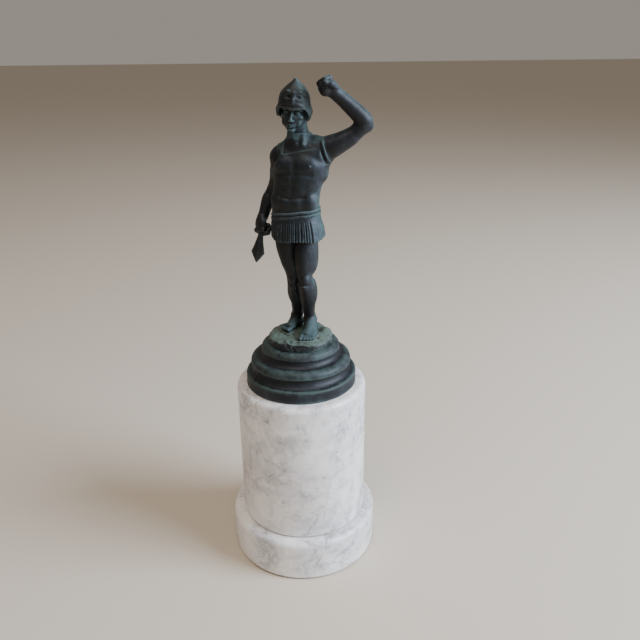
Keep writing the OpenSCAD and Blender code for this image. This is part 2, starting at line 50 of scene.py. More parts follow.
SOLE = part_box("socle")[1][2] / MM + SOLE_RISE
FAR = 4.0  # the distance that empty clay starts with
FINE = 1.0  # the grid's coarseness
GAP = 0.02  # between two castings that share a surface
BODY_TURN = math.radians(17)
CT, ST = math.cos(BODY_TURN), math.sin(BODY_TURN)


def vec(*v):
    return np.array(v, float)


def unit(v):
    v = np.asarray(v, float)
    return v / np.linalg.norm(v)


def mix(a, b, t):
    return a + (b - a) * t


def pairs(row):
    return zip(row[:-1], row[1:])


def dot(direction, place):
    return sum(np.float32(direction[i]) * place[i] for i in range(3))


def less(place, point):
    return [place[i] - np.float32(point[i]) for i in range(3)]


def bell(x, width):
    return np.exp(-((x / width) ** 2))


# ---- Clay ----


def smooth_min(a, b, k):
    low = np.minimum(a, b)
    if k <= 0:
        return low
    h = np.maximum(k - np.abs(a - b), 0) / k
    return low - h * h * (k * 0.25)


def smooth_max(a, b, k):
    return -smooth_min(-a, -b, k)


def ease(lo, hi, x):
    t = np.clip((x - lo) / (hi - lo), 0, 1)
    return t * t * (3 - 2 * t)


def noise(points, size, seed):
    """Smooth lumps between -1 and 1, about size apart, from a seeded lattice."""
    cells = 24
    lattice = np.random.default_rng(seed).uniform(-1, 1, (cells, cells, cells)).astype(np.float32)
    index, part = [], []
    for p in points:
        q = p / np.float32(size) + 64
        f = np.floor(q)
        t = (q - f).astype(np.float32)
        index.append(f.astype(int) % cells)
        part.append(t * t * (3 - 2 * t))
    total = 0
    for corner in range(8):
        at, weight = [], 1
        for k in range(3):
            side = corner >> k & 1
            at.append((index[k] + side) % cells)
            weight = weight * (part[k] if side else 1 - part[k])
        total = total + lattice[at[0], at[1], at[2]] * weight
    return total


class Shape:
    def __init__(self, low, high, distance):
        self.low, self.high, self.distance = np.asarray(low, float), np.asarray(high, float), distance


def ball(c, r):
    return egg(c, (r, r, r))


def egg(c, radii, turn=None):
    """An ellipsoid; turn's columns are its own axes."""
    c, radii = np.asarray(c, float), np.asarray(radii, float)
    m = np.eye(3) if turn is None else np.asarray(turn, float)
    half = np.abs(m) @ radii

    def distance(p):
        q = less(p, c)
        if turn is not None:
            q = [dot(m[:, k], q) for k in range(3)]
        a = sum((q[i] / np.float32(radii[i])) ** 2 for i in range(3))
        b = sum((q[i] / np.float32(radii[i] ** 2)) ** 2 for i in range(3))
        a = np.sqrt(a)
        return a * (a - 1) / np.maximum(np.sqrt(b), np.float32(1e-6))

    return Shape(c - half, c + half, distance)


def bar(a, b, ra, rb):
    """A round-ended bar whose radius runs from ra to rb."""
    a, b = np.asarray(a, float), np.asarray(b, float)
    ab = b - a
    length2 = max(float(ab @ ab), 1e-9)
    low = np.minimum(a - ra, b - rb)
    high = np.maximum(a + ra, b + rb)

    def distance(p):
        q = less(p, a)
        t = np.clip(dot(ab, q) / np.float32(length2), 0, 1)
        d = sum((q[i] - t * np.float32(ab[i])) ** 2 for i in range(3))
        return np.sqrt(d) - (np.float32(ra) + t * np.float32(rb - ra))

    return Shape(low, high, distance)


def everywhere(c, squash=1.0):
    """The clay's three coordinates at full size, for noise; squash shortens the third."""
    x, y, z = (np.broadcast_to(g, c.d.shape) for g in c.grid)
    return [x, y, squash * z]


def curve(points, steps):
    """A Catmull-Rom curve through the points."""
    p = np.asarray(points, float)
    out = []
    for i in range(len(p) - 1):
        a, b, c, d = p[max(i - 1, 0)], p[i], p[i + 1], p[min(i + 2, len(p) - 1)]
        for t in np.linspace(0, 1, steps, endpoint=False):
            out.append(0.5 * (2 * b + (c - a) * t + (2 * a - 5 * b + 4 * c - d) * t * t
                              + (3 * b - a - 3 * c + d) * t ** 3))
    out.append(p[-1])
    return np.array(out)


def limb(stations, steps=5):
    """Bars along the smooth curve through stations (x, y, z, radius)."""
    path = curve(stations, steps)
    return [bar(a[:3], b[:3], a[3], b[3]) for a, b in pairs(path)]


def loft(rows, power=2.25, turn=(CT, ST), below=None, above=None):
    """A body through level sections (z, x, y, half width, half depth)."""
    r = curve(rows, 8)
    w = max(r[:, 3].max(), r[:, 4].max()) + 1
    low = vec(r[:, 1].min() - w, r[:, 2].min() - w, r[0, 0] if below is None else below)
    high = vec(r[:, 1].max() + w, r[:, 2].max() + w, r[-1, 0] if above is None else above)

    def distance(p):
        z = p[2]
        cx, cy, hw, hd = (np.interp(z, r[:, 0], r[:, k]).astype(np.float32) for k in range(1, 5))
        dx, dy = p[0] - cx, p[1] - cy
        u = np.abs(dx * turn[0] - dy * turn[1]) / hw + 1e-5
        v = np.abs(dx * turn[1] + dy * turn[0]) / hd + 1e-5
        q = (u ** power + v ** power) ** (1 / power)
        slope = np.sqrt((u ** (power - 1) / hw) ** 2 + (v ** (power - 1) / hd) ** 2) * q ** (1 - power)
        d = (q - 1) / np.maximum(slope, 1e-4)
        ends = np.maximum(np.float32(low[2]) - z, z - np.float32(high[2]))
        return np.maximum(d, ends)

    return Shape(low, high, distance)


class Clay:
    def __init__(self, low, high, step):
        self.step = step * FINE
        first = np.floor(np.asarray(low) / self.step).astype(int)
        last = np.ceil(np.asarray(high) / self.step).astype(int)
        self.axes = [np.arange(a, b + 1).astype(np.float32) * np.float32(self.step)
                     for a, b in zip(first, last)]
        self.d = np.full([len(a) for a in self.axes], FAR, np.float32)
        self.grid = tuple(a.reshape([-1 if i == k else 1 for i in range(3)])
                          for k, a in enumerate(self.axes))

    def window(self, low, high):
        cuts = []
        for axis, lo, hi in zip(self.axes, low, high):
            i, j = np.searchsorted(axis, [lo, hi])
            cuts.append(slice(int(i), int(max(j, i))))
        x, y, z = (a[c] for a, c in zip(self.axes, cuts))
        if not (len(x) and len(y) and len(z)):
            return None, None
        return tuple(cuts), (x[:, None, None], y[None, :, None], z[None, None, :])

    def copy(self):
        other = object.__new__(Clay)
        other.step, other.axes, other.grid = self.step, self.axes, self.grid
        other.d = self.d.copy()
        return other

    def blank(self):
        other = self.copy()
        other.d[:] = FAR
        return other

    def each(self, shapes, k, join):
        for s in shapes if isinstance(shapes, (list, tuple)) else [shapes]:
            w, p = self.window(s.low - k - 1.3, s.high + k + 1.3)
            if w:
                self.d[w] = join(self.d[w], s.distance(p).astype(np.float32), k)
        return self

    def add(self, shapes, k=0.0):
        return self.each(shapes, k, smooth_min)

    def cut(self, shapes, k=0.0):
        return self.each(shapes, k, lambda a, b, k: smooth_max(a, -b, k))

    def limb(self, stations, k=0.0, steps=5):
        """Joins a whole limb at once, so that its own bars don't swell where they meet."""
        bars = limb(stations, steps)
        part = self.blank().add(bars)
        self.d = smooth_min(self.d, part.d, k)
        return self

    def half(self, point, normal, k=0.0):
        """Keeps what lies behind a plane: the side its normal points away from."""
        plane = dot(unit(normal), less(self.grid, point))
        self.d = smooth_max(self.d, plane.astype(np.float32), k)
        return self

    def blurred(self, reach):
        cells = max(1, int(round(reach / self.step)))
        d = np.clip(self.d, -2, 2)
        for axis in range(3):
            pad = [(cells, cells) if k == axis else (0, 0) for k in range(3)]
            s = np.cumsum(np.pad(d, pad, mode="edge"), axis=axis, dtype=np.float64)
            n = d.shape[axis]
            top = np.take(s, np.arange(2 * cells, 2 * cells + n), axis=axis)
            low = np.take(s, np.arange(0, n), axis=axis)
            d = ((top - low) / (2 * cells)).astype(np.float32)
        return d

    def mesh(self, name, material, lift=SOLE):
        grid = openvdb.FloatGrid(FAR)
        block = self.d.copy()
        for axis in range(3):
            edge = [slice(None)] * 3
            for side in (0, -1):
                edge[axis] = side
                block[tuple(edge)] = np.maximum(block[tuple(edge)], 0.2)
        grid.copyFromArray(block)
        points, quads = grid.convertToQuads(isovalue=0.0)
        low = np.array([a[0] for a in self.axes])
        verts = points * self.step + low
        # ridges come out above nought (rubbed wear, verdigris), hollows below (painted shade)
        wear_and_shade = self.blurred(0.6) - np.clip(self.d, -2, 2)
        at = np.clip(np.rint(points).astype(int), 0, np.array(self.d.shape) - 1)
        wear_and_shade = wear_and_shade[at[:, 0], at[:, 1], at[:, 2]] / 0.12
        verts[:, 2] += lift
        return piece(name, verts * MM, quads, material, wear_and_shade)


def piece(name, verts, faces, material, wear_and_shade):
    """A Blender object from arrays of corners in metres and quads."""
    faces = np.asarray(faces)
    a, b, c = (verts[faces[:, k]] for k in range(3))
    e = verts[faces[:, 3]]
    volume = np.einsum("ij,ij->i", a, np.cross(b, c)).sum() + np.einsum("ij,ij->i", a, np.cross(c, e)).sum()
    if volume < 0:
        faces = faces[:, ::-1]
    mesh = bpy.data.meshes.new(name)
    mesh.vertices.add(len(verts))
    mesh.vertices.foreach_set("co", verts.astype(np.float32).ravel())
    mesh.loops.add(faces.size)
    mesh.loops.foreach_set("vertex_index", faces.astype(np.int32).ravel())
    mesh.polygons.add(len(faces))
    mesh.polygons.foreach_set("loop_start", np.arange(0, faces.size, 4, dtype=np.int32))
    mesh.update(calc_edges=True)
    mesh.polygons.foreach_set("use_smooth", np.ones(len(faces), bool))
    # ridge and hollow measure: rubbed wear on ridges, painted shade in hollows
    wear_and_shade_layer = mesh.attributes.new("wear_and_shade", "FLOAT", "POINT")
    wear_and_shade_layer.data.foreach_set("value", np.clip(wear_and_shade, -1, 1).astype(np.float32))
    mesh.validate()
    mesh.update()
    mesh.materials.append(material)
    o = bpy.data.objects.new(name, mesh)
    bpy.context.scene.collection.objects.link(o)
    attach(o, "root")
    return o


# ---- Materials ----


class Nodes:
    """Short calls for building a node material."""

    def __init__(self, name, **values):
        self.material = bpy.data.materials.new(name)
        self.material.use_nodes = True
        self.tree = self.material.node_tree
        self.shader = self.tree.nodes["Principled BSDF"]
        for key, value in values.items():
            self.shader.inputs[key.replace("_", " ")].default_value = value
        self.coords = self.tree.nodes.new("ShaderNodeTexCoord").outputs["Object"]

    def node(self, kind, **settings):
        n = self.tree.nodes.new("ShaderNode" + kind)
        for key, value in settings.items():
            setattr(n, key, value)
        return n

    def put(self, socket, value):
        if isinstance(value, bpy.types.NodeSocket):
            self.tree.links.new(value, socket)
        else:
            socket.default_value = value

    def noise(self, scale, detail=6.0, rough=0.55, shift=0.0, warp=0.0):
        m = self.node("Mapping")
        self.put(m.inputs["Vector"], self.coords)
        m.inputs["Location"].default_value = (shift, shift * 0.7, shift * 1.3)
        n = self.node("TexNoise")
        self.put(n.inputs["Vector"], m.outputs[0])
        n.inputs["Scale"].default_value = scale
        n.inputs["Detail"].default_value = detail
        n.inputs["Roughness"].default_value = rough
        n.inputs["Distortion"].default_value = warp
        return n.outputs["Fac"]

    def ramp(self, fac, stops):
        r = self.node("ValToRGB")
        self.put(r.inputs["Fac"], fac)
        e = r.color_ramp.elements
        while len(e) < len(stops):
            e.new(0.5)
        for k, (at, colour) in enumerate(stops):
            e[k].position = at
            e[k].color = (*colour, 1) if isinstance(colour, tuple) else (colour, colour, colour, 1)
        return r.outputs["Color"]

    def blend(self, fac, a, b):
        m = self.node("Mix", data_type="RGBA")
        self.put(m.inputs[0], fac)
        self.put(m.inputs[6], (*a, 1) if isinstance(a, tuple) else a)
        self.put(m.inputs[7], (*b, 1) if isinstance(b, tuple) else b)
        return m.outputs[2]

    def math(self, how, a, b=0.0, c=0.0, clamp=False):
        m = self.node("Math", operation=how, use_clamp=clamp)
        for socket, value in zip(m.inputs, (a, b, c)):
            self.put(socket, value)
        return m.outputs[0]

    def bump(self, height, strength, distance):
        b = self.node("Bump")
        self.put(b.inputs["Height"], height)
        b.inputs["Strength"].default_value = strength
        b.inputs["Distance"].default_value = distance
        last = self.shader.inputs["Normal"]
        if last.is_linked:
            self.put(b.inputs["Normal"], last.links[0].from_socket)
        self.put(last, b.outputs["Normal"])

    def set(self, key, value):
        self.put(self.shader.inputs[key], value)


def make_bronze(name, dark, mid, green, cover=0.5, lying_share=0.3, zones=()):
    """Patina over bronze. zones are (height where it is full, height where it ends, extra green), in
    millimetres above the soles."""
    n = Nodes(name, Metallic=0.2, Specular_IOR_Level=0.42)
    cloud = n.noise(95, 6, 0.62, warp=0.5)
    grain = n.noise(900, 4, 0.6, shift=3.0)
    fleck = n.noise(320, 5, 0.65, shift=7.0)
    # above nought on ridges (rubbed wear, verdigris), below nought in hollows (painted shade)
    wear_and_shade = n.node("Attribute", attribute_name="wear_and_shade").outputs["Fac"]
    facing, place = n.node("SeparateXYZ"), n.node("SeparateXYZ")
    n.put(facing.inputs[0], n.node("NewGeometry").outputs["Normal"])
    n.put(place.inputs[0], n.coords)
    base = n.blend(n.ramp(cloud, [(0.42, 0.0), (0.58, 1.0)]), dark, mid)
    # verdigris: on ridges, on faces that look up, and in clouds
    lying = n.math("MULTIPLY", n.ramp(facing.outputs["Z"], [(0.55, 0.0), (0.95, 1.0)]), lying_share)
    amount = n.math("MULTIPLY_ADD", wear_and_shade, 0.5, lying)
    amount = n.math("ADD", amount, n.math("MULTIPLY_ADD", fleck, 1.6, cover - 1.8))
    amount = n.math("MULTIPLY_ADD", cloud, 1.2, amount)
    for full, end, extra in zones:
        share = 1 / (full - end) / MM
        high = n.math("MULTIPLY_ADD", place.outputs["Z"], share, -share * (SOLE + end) * MM)
        amount = n.math("ADD", amount, n.math("MULTIPLY", n.ramp(high, [(0.0, 0.0), (1.0, 1.0)]), extra))
    amount = n.ramp(amount, [(0.20, 0.0), (0.78, 1.0)])
    colour = n.blend(amount, base, green)
    # ridges rubbed a little barer; hollows painted darker as shade
    rubbed = n.math("MULTIPLY", n.math("MAXIMUM", wear_and_shade, 0.0), n.math("MULTIPLY", fleck, 0.8), clamp=True)
    colour = n.blend(rubbed, colour, (0.055, 0.075, 0.078))
    # painted shade: hollows darkened towards the dark patina
    painted_hollow_shade = n.math("MULTIPLY", wear_and_shade, -1.2, clamp=True)
    colour = n.blend(painted_hollow_shade, colour, tuple(0.6 * c for c in dark))
    n.set("Base Color", colour)
    n.set("Roughness", n.ramp(n.math("MULTIPLY_ADD", grain, 0.35, n.math("MULTIPLY", amount, 0.6)),
                              [(0.1, 0.50), (0.8, 0.72)]))
    n.bump(grain, 0.4, 0.00012)
    n.bump(fleck, 0.4, 0.0003)
    return n.material


def make_marble(name):
    n = Nodes(name, Specular_IOR_Level=0.5, Coat_Weight=0.12, Coat_Roughness=0.22)
    n.shader.inputs["Subsurface Weight"].default_value = 0.12
    n.shader.inputs["Subsurface Radius"].default_value = (0.006, 0.005, 0.0045)
    n.shader.inputs["Subsurface Scale"].default_value = 0.5
    cloud = n.noise(30, 6, 0.6, warp=0.5)
    patch = n.noise(75, 7, 0.72, shift=4.0, warp=0.3)
    blot = n.noise(120, 4, 0.6, shift=9.0, warp=0.2)
    vein = n.noise(42, 8, 0.7, shift=11.0, warp=1.0)
    speck = n.noise(330, 3, 0.6, shift=2.0)
    stain = n.noise(22, 4, 0.55, shift=15.0)
    base = n.blend(n.ramp(cloud, [(0.42, 0.0), (0.60, 1.0)]), (0.86, 0.83, 0.81), (0.70, 0.68, 0.70))
    base = n.blend(n.ramp(patch, [(0.48, 0.0), (0.66, 0.85)]), base, (0.50, 0.485, 0.51))
    base = n.blend(n.ramp(blot, [(0.56, 0.0), (0.68, 0.7)]), base, (0.90, 0.88, 0.87))
    base = n.blend(n.ramp(stain, [(0.52, 0.0), (0.72, 0.35)]), base, (0.62, 0.50, 0.38))
    line = n.math("ABSOLUTE", n.math("SUBTRACT", vein, 0.5))
    streak = n.math("MULTIPLY", n.ramp(line, [(0.0, 1.0), (0.030, 0.0)]),
                    n.ramp(cloud, [(0.46, 0.0), (0.58, 0.75)]))
    base = n.blend(streak, base, (0.27, 0.25, 0.26))
    dots = n.math("MULTIPLY", n.ramp(speck, [(0.60, 0.0), (0.70, 1.0)]),
                  n.ramp(patch, [(0.48, 0.0), (0.62, 0.8)]))
    base = n.blend(dots, base, (0.20, 0.19, 0.20))
    n.set("Base Color", base)
    n.set("Roughness", n.ramp(patch, [(0.3, 0.26), (0.7, 0.44)]))
    n.bump(n.noise(420, 3, 0.5, shift=5.0), 0.12, 0.0002)
    n.bump(patch, 0.12, 0.0006)
    return n.material


def make_plain(name, light, dark, scale, **values):
    n = Nodes(name, **values)
    n.set("Base Color", n.blend(n.noise(scale, 4), dark, light))
    n.bump(n.noise(scale * 3, 3), 0.2, 0.0001)
    return n.material


BRONZE = make_bronze("patinated bronze", (0.008, 0.014, 0.018), (0.024, 0.031, 0.048), (0.044, 0.084, 0.088),
                     0.60, 0.25, [(101, 88, 0.25)])
BRONZE_SKIN = make_bronze("patinated bronze, limbs", (0.004, 0.006, 0.009), (0.017, 0.021, 0.032),
                          (0.032, 0.062, 0.070), 0.50, 0.3, [(2, 16, 0.35)])
BRONZE_HEAD = make_bronze("patinated bronze, helmet", (0.006, 0.009, 0.012), (0.017, 0.022, 0.027),
                          (0.036, 0.062, 0.062), 0.54)
BRONZE_ROCK = make_bronze("patinated bronze, ground", (0.010, 0.016, 0.019), (0.034, 0.048, 0.048),
                          (0.100, 0.140, 0.115), 0.46, 0.45)
BRONZE_SOCLE = make_bronze("patinated bronze, socle", (0.005, 0.007, 0.011), (0.014, 0.018, 0.026),
                           (0.040, 0.068, 0.064), 0.48, 0.3)
MARBLE = make_marble("marble")
CEMENT = make_plain("setting cement", (0.50, 0.36, 0.19), (0.33, 0.22, 0.11), 500, Roughness=0.85)
FELT = make_plain("felt", (0.07, 0.11, 0.07), (0.03, 0.05, 0.03), 1500, Roughness=0.95, Sheen_Weight=0.5)
STEEL = make_plain("zinc plated steel", (0.55, 0.56, 0.57), (0.38, 0.39, 0.41), 300, Roughness=0.36,
                   Metallic=1.0)
BRASS = make_plain("brass", (0.62, 0.47, 0.20), (0.44, 0.31, 0.12), 300, Roughness=0.34, Metallic=1.0)


# ---- The figure's skeleton ----

L_SHOULDER, L_ELBOW, L_WRIST = vec(13.6, -1.8, 93.8), vec(31.6, -4, 103.8), vec(17.2, -6.8, 118.2)
R_SHOULDER, R_ELBOW, R_WRIST = vec(-7.9, 4.4, 88.8), vec(-12.9, 12.3, 70.6), vec(-17.2, 9.6, 59.4)
R_GRIP = vec(-17.3, 7.6, 53.0)
HEAD = vec(-0.6, -0.2, 110.0)
HELMET = vec(-0.5, -0.2, 109.3)


def chest(u, v, z, centre=(2.0, 1.4)):
    """A place across (u), back (v) and up (z) from the middle of the turned body."""
    return vec(centre[0] + u * CT + v * ST, centre[1] - u * ST + v * CT, z)


CHEST_TURN = np.array([[CT, ST, 0], [-ST, CT, 0], [0, 0, 1]])


def body_axes(x, y):
    """Level distances across and back, along the turned body's own axes."""
    return x * CT - y * ST, x * ST + y * CT


def tilt(about, degrees, base=np.eye(3)):
    """base's axes, turned about one of them (0, 1 or 2)."""
    a = math.radians(degrees)
    c, s = math.cos(a), math.sin(a)
    m = np.eye(3)
    i, j = [(1, 2), (2, 0), (0, 1)][about]
    m[i, i] = m[j, j] = c
    m[i, j], m[j, i] = -s, s
    return base @ m


TORSO_ROWS = [
    (44, -0.6, 1.8, 12.0, 9.4), (50, -0.7, 1.8, 11.8, 9.3), (56, -0.9, 2.0, 11.5, 8.9),
    (61.4, -0.8, 2.1, 11.4, 8.2), (66, -0.8, 1.9, 11.2, 7.8), (71.5, -0.3, 1.7, 11.2, 7.7),
    (77.3, 0.7, 1.4, 11.6, 8.0), (82, 1.7, 1.3, 12.3, 8.4), (86.5, 2.4, 1.4, 12.6, 8.2),
    (91, 2.4, 1.9, 11.6, 6.9), (94.3, 2.0, 2.3, 8.4, 5.6), (98, 1.5, 2.2, 5.4, 4.8),
    (103, 0.9, 1.4, 4.8, 4.6),
]


def torso_clay(c):
    c.add(loft(TORSO_ROWS))

    def muscle(side, across, back, high, radii, k, lean=0, shift=0.0, centre=(2.0, 1.4)):
        place = chest(side * across + shift, back, high, centre)
        c.add(egg(place, radii, tilt(1, lean * side, CHEST_TURN)), k)

    for s in (-1, 1):
        # breast, shoulder, shoulder blade, flank
        muscle(s, 5.2, -4.7, 86.2, (5.0, 3.3, 3.9), 1.5, 9, -0.8)
        muscle(s, 7.6, -2.0, 90.4, (4.4, 3.2, 3.0), 1.8)
        muscle(s, 6.0, 4.8, 87, (4.6, 3.0, 5.6), 1.5, -10)
        muscle(s, 9.2, 1.0, 84.5, (3.2, 4.4, 6.2), 2.6, -16)
        # belly: two broad pairs of muscle, the lower belly and the hip muscle
        muscle(s, 2.5, -6.6, 79.0, (2.7, 1.5, 2.3), 1.3, 0, -0.4, (0.9, 1.5))
        muscle(s, 2.5, -6.5, 74.4, (2.7, 1.5, 2.2), 1.3, 0, -0.4, (0.4, 1.6))
        muscle(s, 2.4, -6.5, 68.6, (3.0, 1.7, 3.0), 1.4, 0, -0.3, (-0.5, 1.8))
        muscle(s, 7.8, -4.0, 69.0, (3.0, 3.0, 3.8), 2.2, 0, 0.0, (-0.5, 1.8))
    c.add(bar((2.9, 3.0, 98.4), (9.6, 1.2, 95.3), 2.5, 3.1), 2.0)
    c.add(bar((-0.2, 3.0, 95.8), (-6.4, 3.8, 92.2), 2.4, 2.9), 2.0)
    c.limb([(*R_SHOULDER + (8, -1.8, 1.5), 5), (*R_SHOULDER + (3.5, -0.8, 0.6), 4.6),
            (*R_SHOULDER, 4.2)], 1.8)
    # middle line, navel, lower edge of the ribs, waist fold, spine
    c.cut(bar(chest(-0.8, -9.2, 89.5), chest(-0.7, -9.0, 82.0), 0.6, 0.8), 2.0)
    c.cut(bar(chest(-0.6, -9.1, 81, (0.9, 1.5)), chest(-0.4, -8.7, 73, (0.2, 1.6)), 0.3, 0.3), 1.4)
    c.cut(egg(chest(-0.1, -8.5, 72.9, (-0.2, 1.7)), (0.6, 0.9, 0.8), CHEST_TURN), 0.5)
    for s in (-1, 1):
        c.cut(bar(chest(s * 1.4 - 0.8, -9.6, 82.8), chest(s * 8.0 - 0.8, -8.0, 82.0), 0.4, 0.4), 2.2)
        ribs, fold = (0.6, 1.5), (-0.3, 1.8)
        c.cut(bar(chest(s * 2.2, -8.9, 76.6, ribs), chest(s * 6.6, -7.2, 76.8, ribs), 0.2, 0.2), 1.0)
        c.cut(bar(chest(s * 0.9 - 0.3, -8.5, 70.9, fold), chest(s * 6.0, -7.2, 71.6, fold), 0.05, 0.05), 2.0)
        c.add(ball(chest(s * 7.1 - 0.6, -7.9 if s > 0 else -7.6, 85.9), 0.42), 0.35)
    c.cut(bar(chest(0, 10.0, 90), chest(0, 9.2, 70, (0, 1.7)), 1.0, 1.0), 2.0)
    return c


JOINT, JOINT_AT = unit((CT, -ST, 0.3)), L_SHOULDER + (0.9, -0.4, 0.2)


def beyond_joint(c):
    """How far each place lies beyond the raised shoulder's joint, on the arm's side."""
    return dot(JOINT, less(c.grid, JOINT_AT))


def split_shoulder(c, arm):
    """Keeps the body's side of the raised shoulder's joint, or the arm's side."""
    beyond = np.minimum(beyond_joint(c), c.grid[2] - np.float32(86.4))
    c.d = np.maximum(c.d, -beyond if arm else beyond).astype(np.float32)
    return c


def raised_shoulder(c):
    """The deltoid, the same on both sides of the joint, with the joint's flange and slit in front."""
    c.limb([(5.0, 0.9, 90.6, 4.9), (9.6, 0.1, 92.0, 5.7), (13.4, -0.8, 92.9, 5.6), (17.0, -1.8, 94.2, 5.0),
            (21.5, -2.6, 96.4, 4.25), (25.0, -3.2, 98.3, 3.8)], 2.0)
    c.add(egg(L_SHOULDER + (0.0, 0.6, -4.2), (3.0, 3.9, 4.0), tilt(1, -30)), 2.6)
    x, y, z = c.grid
    plane = beyond_joint(c)
    front = ease(1.0, -2.0, y) * ease(86.5, 89.5, z) * ease(98.4, 96.0, z) * (np.abs(c.d) < 1.6)
    c.d -= (0.45 * bell(plane + 0.6, 0.8) * front).astype(np.float32)
    c.d += (0.7 * bell(plane + 1.9, 0.42) * front * ease(93.6, 92.4, z)).astype(np.float32)
    return c


def armhole(c):
    """Distance outside the edge of the hanging arm's armhole."""
    x, y, z = c.grid
    return np.sqrt(((x + 12.8) / 1.1) ** 2 + ((y - 4.6) / 1.5) ** 2 + (z - 89.8) ** 2) - 6.2


def garment(c):
    """The moulded armour: a skin 0.3 mm proud with a square neck and two armholes."""
    x, y, z = c.grid
    u, v = body_axes(x - 2.0, y - 1.4)
    edge = 92.4 + 0.19 * u
    neck = np.maximum(edge - z, np.abs(u - 0.9) - 7.9)
    neck = np.where(v > 0, np.maximum(94.0 - z, np.abs(u) - 6.6), neck)
    inside = ease(-0.2, 0.3, neck)
    inside = inside * ease(-1.8, -3.2, np.where(z < 86.4, -4, beyond_joint(c)))
    right = armhole(c)
    inside = inside * ease(-0.2, 0.3, right)
    c.d -= (0.3 * inside).astype(np.float32)
    welt = bell(neck - 0.55, 0.5) * (0.15 + 0.85 * ease(1.5, 0.0, np.abs(edge - z)))
    welt = 0.6 * welt + 0.5 * bell(right - 0.5, 0.4)
    c.d -= (0.15 * welt * inside).astype(np.float32)
    return c


def rough(c, deep=0.05):
    """The slightly uneven skin of a small sand casting."""
    near = np.abs(c.d) < 1.2
    p = [np.broadcast_to(g, c.d.shape)[near] for g in c.grid]
    c.d[near] += deep * noise(p, 2.3, 3) + 0.6 * deep * noise(p, 1.05, 4)
    return c


def left_arm(c):
    c.limb([(17.0, -1.8, 94.2, 5.0), (21.5, -2.6, 96.4, 4.25), (26.0, -3.4, 99.2, 3.7),
            (29.6, -4, 102.4, 3.7)], 1.6)

    def at(share, side, radius):
        return (*mix(L_ELBOW, L_WRIST, share) + (side[0], 0, side[1]), radius)

    c.limb([(*L_ELBOW - (0.2, 0, -0.4), 3.8), at(0.12, (0.8, 0.7), 4.0), at(0.32, (0.7, 0.7), 3.8),
            at(0.62, (0.5, 0.5), 3.4), at(0.86, (0.2, 0.2), 3.15), (*L_WRIST, 3.1)], 1.4)
    c.add(egg((20.6, -4.2, 96.6), (5.0, 2.6, 2.9), tilt(1, -27)), 1.8)
    c.add(egg((22.2, -1.4, 96.0), (5.0, 3.0, 3.2), tilt(1, -27)), 1.6)
    c.add(ball(L_ELBOW + (1.4, 0.4, -0.8), 2.4), 1.4)
    return c


def right_arm(c):
    c.limb([(*R_SHOULDER + (2.4, -1, 0.8), 4.5), (*R_SHOULDER + (0.2, 0, 0.2), 4.3),
            (*mix(R_SHOULDER, R_ELBOW, 0.3) + (0.9, 0, 0), 3.9),
            (*mix(R_SHOULDER, R_ELBOW, 0.7) + (1.2, 0, 0), 3.3),
            (*R_ELBOW + (0.5, 0, 0), 3.1), (*mix(R_ELBOW, R_WRIST, 0.3) + (0, 0.3, 0), 3.3),
            (*mix(R_ELBOW, R_WRIST, 0.7) + (0.1, 0.2, 0), 2.9), (*R_WRIST + (0.2, 0, 0), 2.7)], 0.8)
    c.add(egg(mix(R_SHOULDER, R_ELBOW, 0.36) + (0.4, -1.4, 0), (2.6, 2.4, 5.2), tilt(0, 22)), 1.5)
    c.add(egg(mix(R_SHOULDER, R_ELBOW, 0.42) + (0.4, 1.4, 0), (2.7, 2.4, 5.6), tilt(0, 22)), 1.5)
    c.add(ball(R_ELBOW + (0, 1.4, 0.3), 1.9), 1.0)
    return c


def hand(c, grip, toward_wrist, back, size, thumb_first=1):
    """A fist closed round its grip axis; back points out of the back of the hand.
    thumb_first is 1 for a right hand and -1 for a left one."""
    b = unit(toward_wrist)
    n = unit(np.asarray(back, float) - b * float(b @ np.asarray(back, float)))
    g = np.cross(n, b) * thumb_first
    s = size
    turn = np.array([g, b, n]).T
    c.add(egg(grip + s * (1.55 * b + 0.65 * n), (s * 2.3, s * 2.5, s * 1.3), turn), s * 0.8)
    c.add(egg(grip + s * (1.9 * b + 1.2 * g - 0.2 * n), (s * 1.1, s * 1.6, s * 1.2), turn), s * 0.7)
    for k in range(4):
        at = grip + (1.5 - k) * 1.05 * s * g + s * (-0.1 * b + (1.15, 1.25, 1.15, 0.95)[k] * n)
        along, palm = -b, -n
        for length, bend, r in ((1.9, 62, 0.76), (1.6, 92, 0.70), (1.0, 52, 0.62)):
            a = math.radians(bend)
            along, palm = along * math.cos(a) + palm * math.sin(a), palm * math.cos(a) - along * math.sin(a)
            end = at + along * length * s * (0.96, 1.03, 1.0, 0.9)[k]
            c.add(bar(at, end, r * s, (r - 0.04) * s), s * 0.3)
            at = end
    tip = [(2.7, 1.6, 0.2, 1.0), (1.0, 2.5, -0.6, 0.88), (-0.5, 2.2, -1.4, 0.76), (-0.9, 1.2, -2.0, 0.62)]
    path = [grip + s * (u * b + v * g + w * n) for u, v, w, _ in tip]
    for (p, q), (e, f) in zip(pairs(path), pairs(tip)):
        c.add(bar(p, q, e[3] * s, f[3] * s), s * 0.35)
    return c


# ---- Head ----

HEAD_TURN = tilt(2, -9) @ tilt(1, 6) @ tilt(0, 6)
HEAD_SIZE = 1.15


def hp(x, y, z):
    """A place in the head's own frame: x to the viewer's right, y back, z up, 0 at eye level."""
    return HEAD + HEAD_TURN @ (HEAD_SIZE * vec(x, y, z))


def head_egg(x, y, z, radii, extra=None):
    return egg(hp(x, y, z), HEAD_SIZE * np.array(radii), HEAD_TURN if extra is None else HEAD_TURN @ extra)


def head_bar(a, b, ra, rb):
    return bar(hp(*a), hp(*b), ra * HEAD_SIZE, rb * HEAD_SIZE)


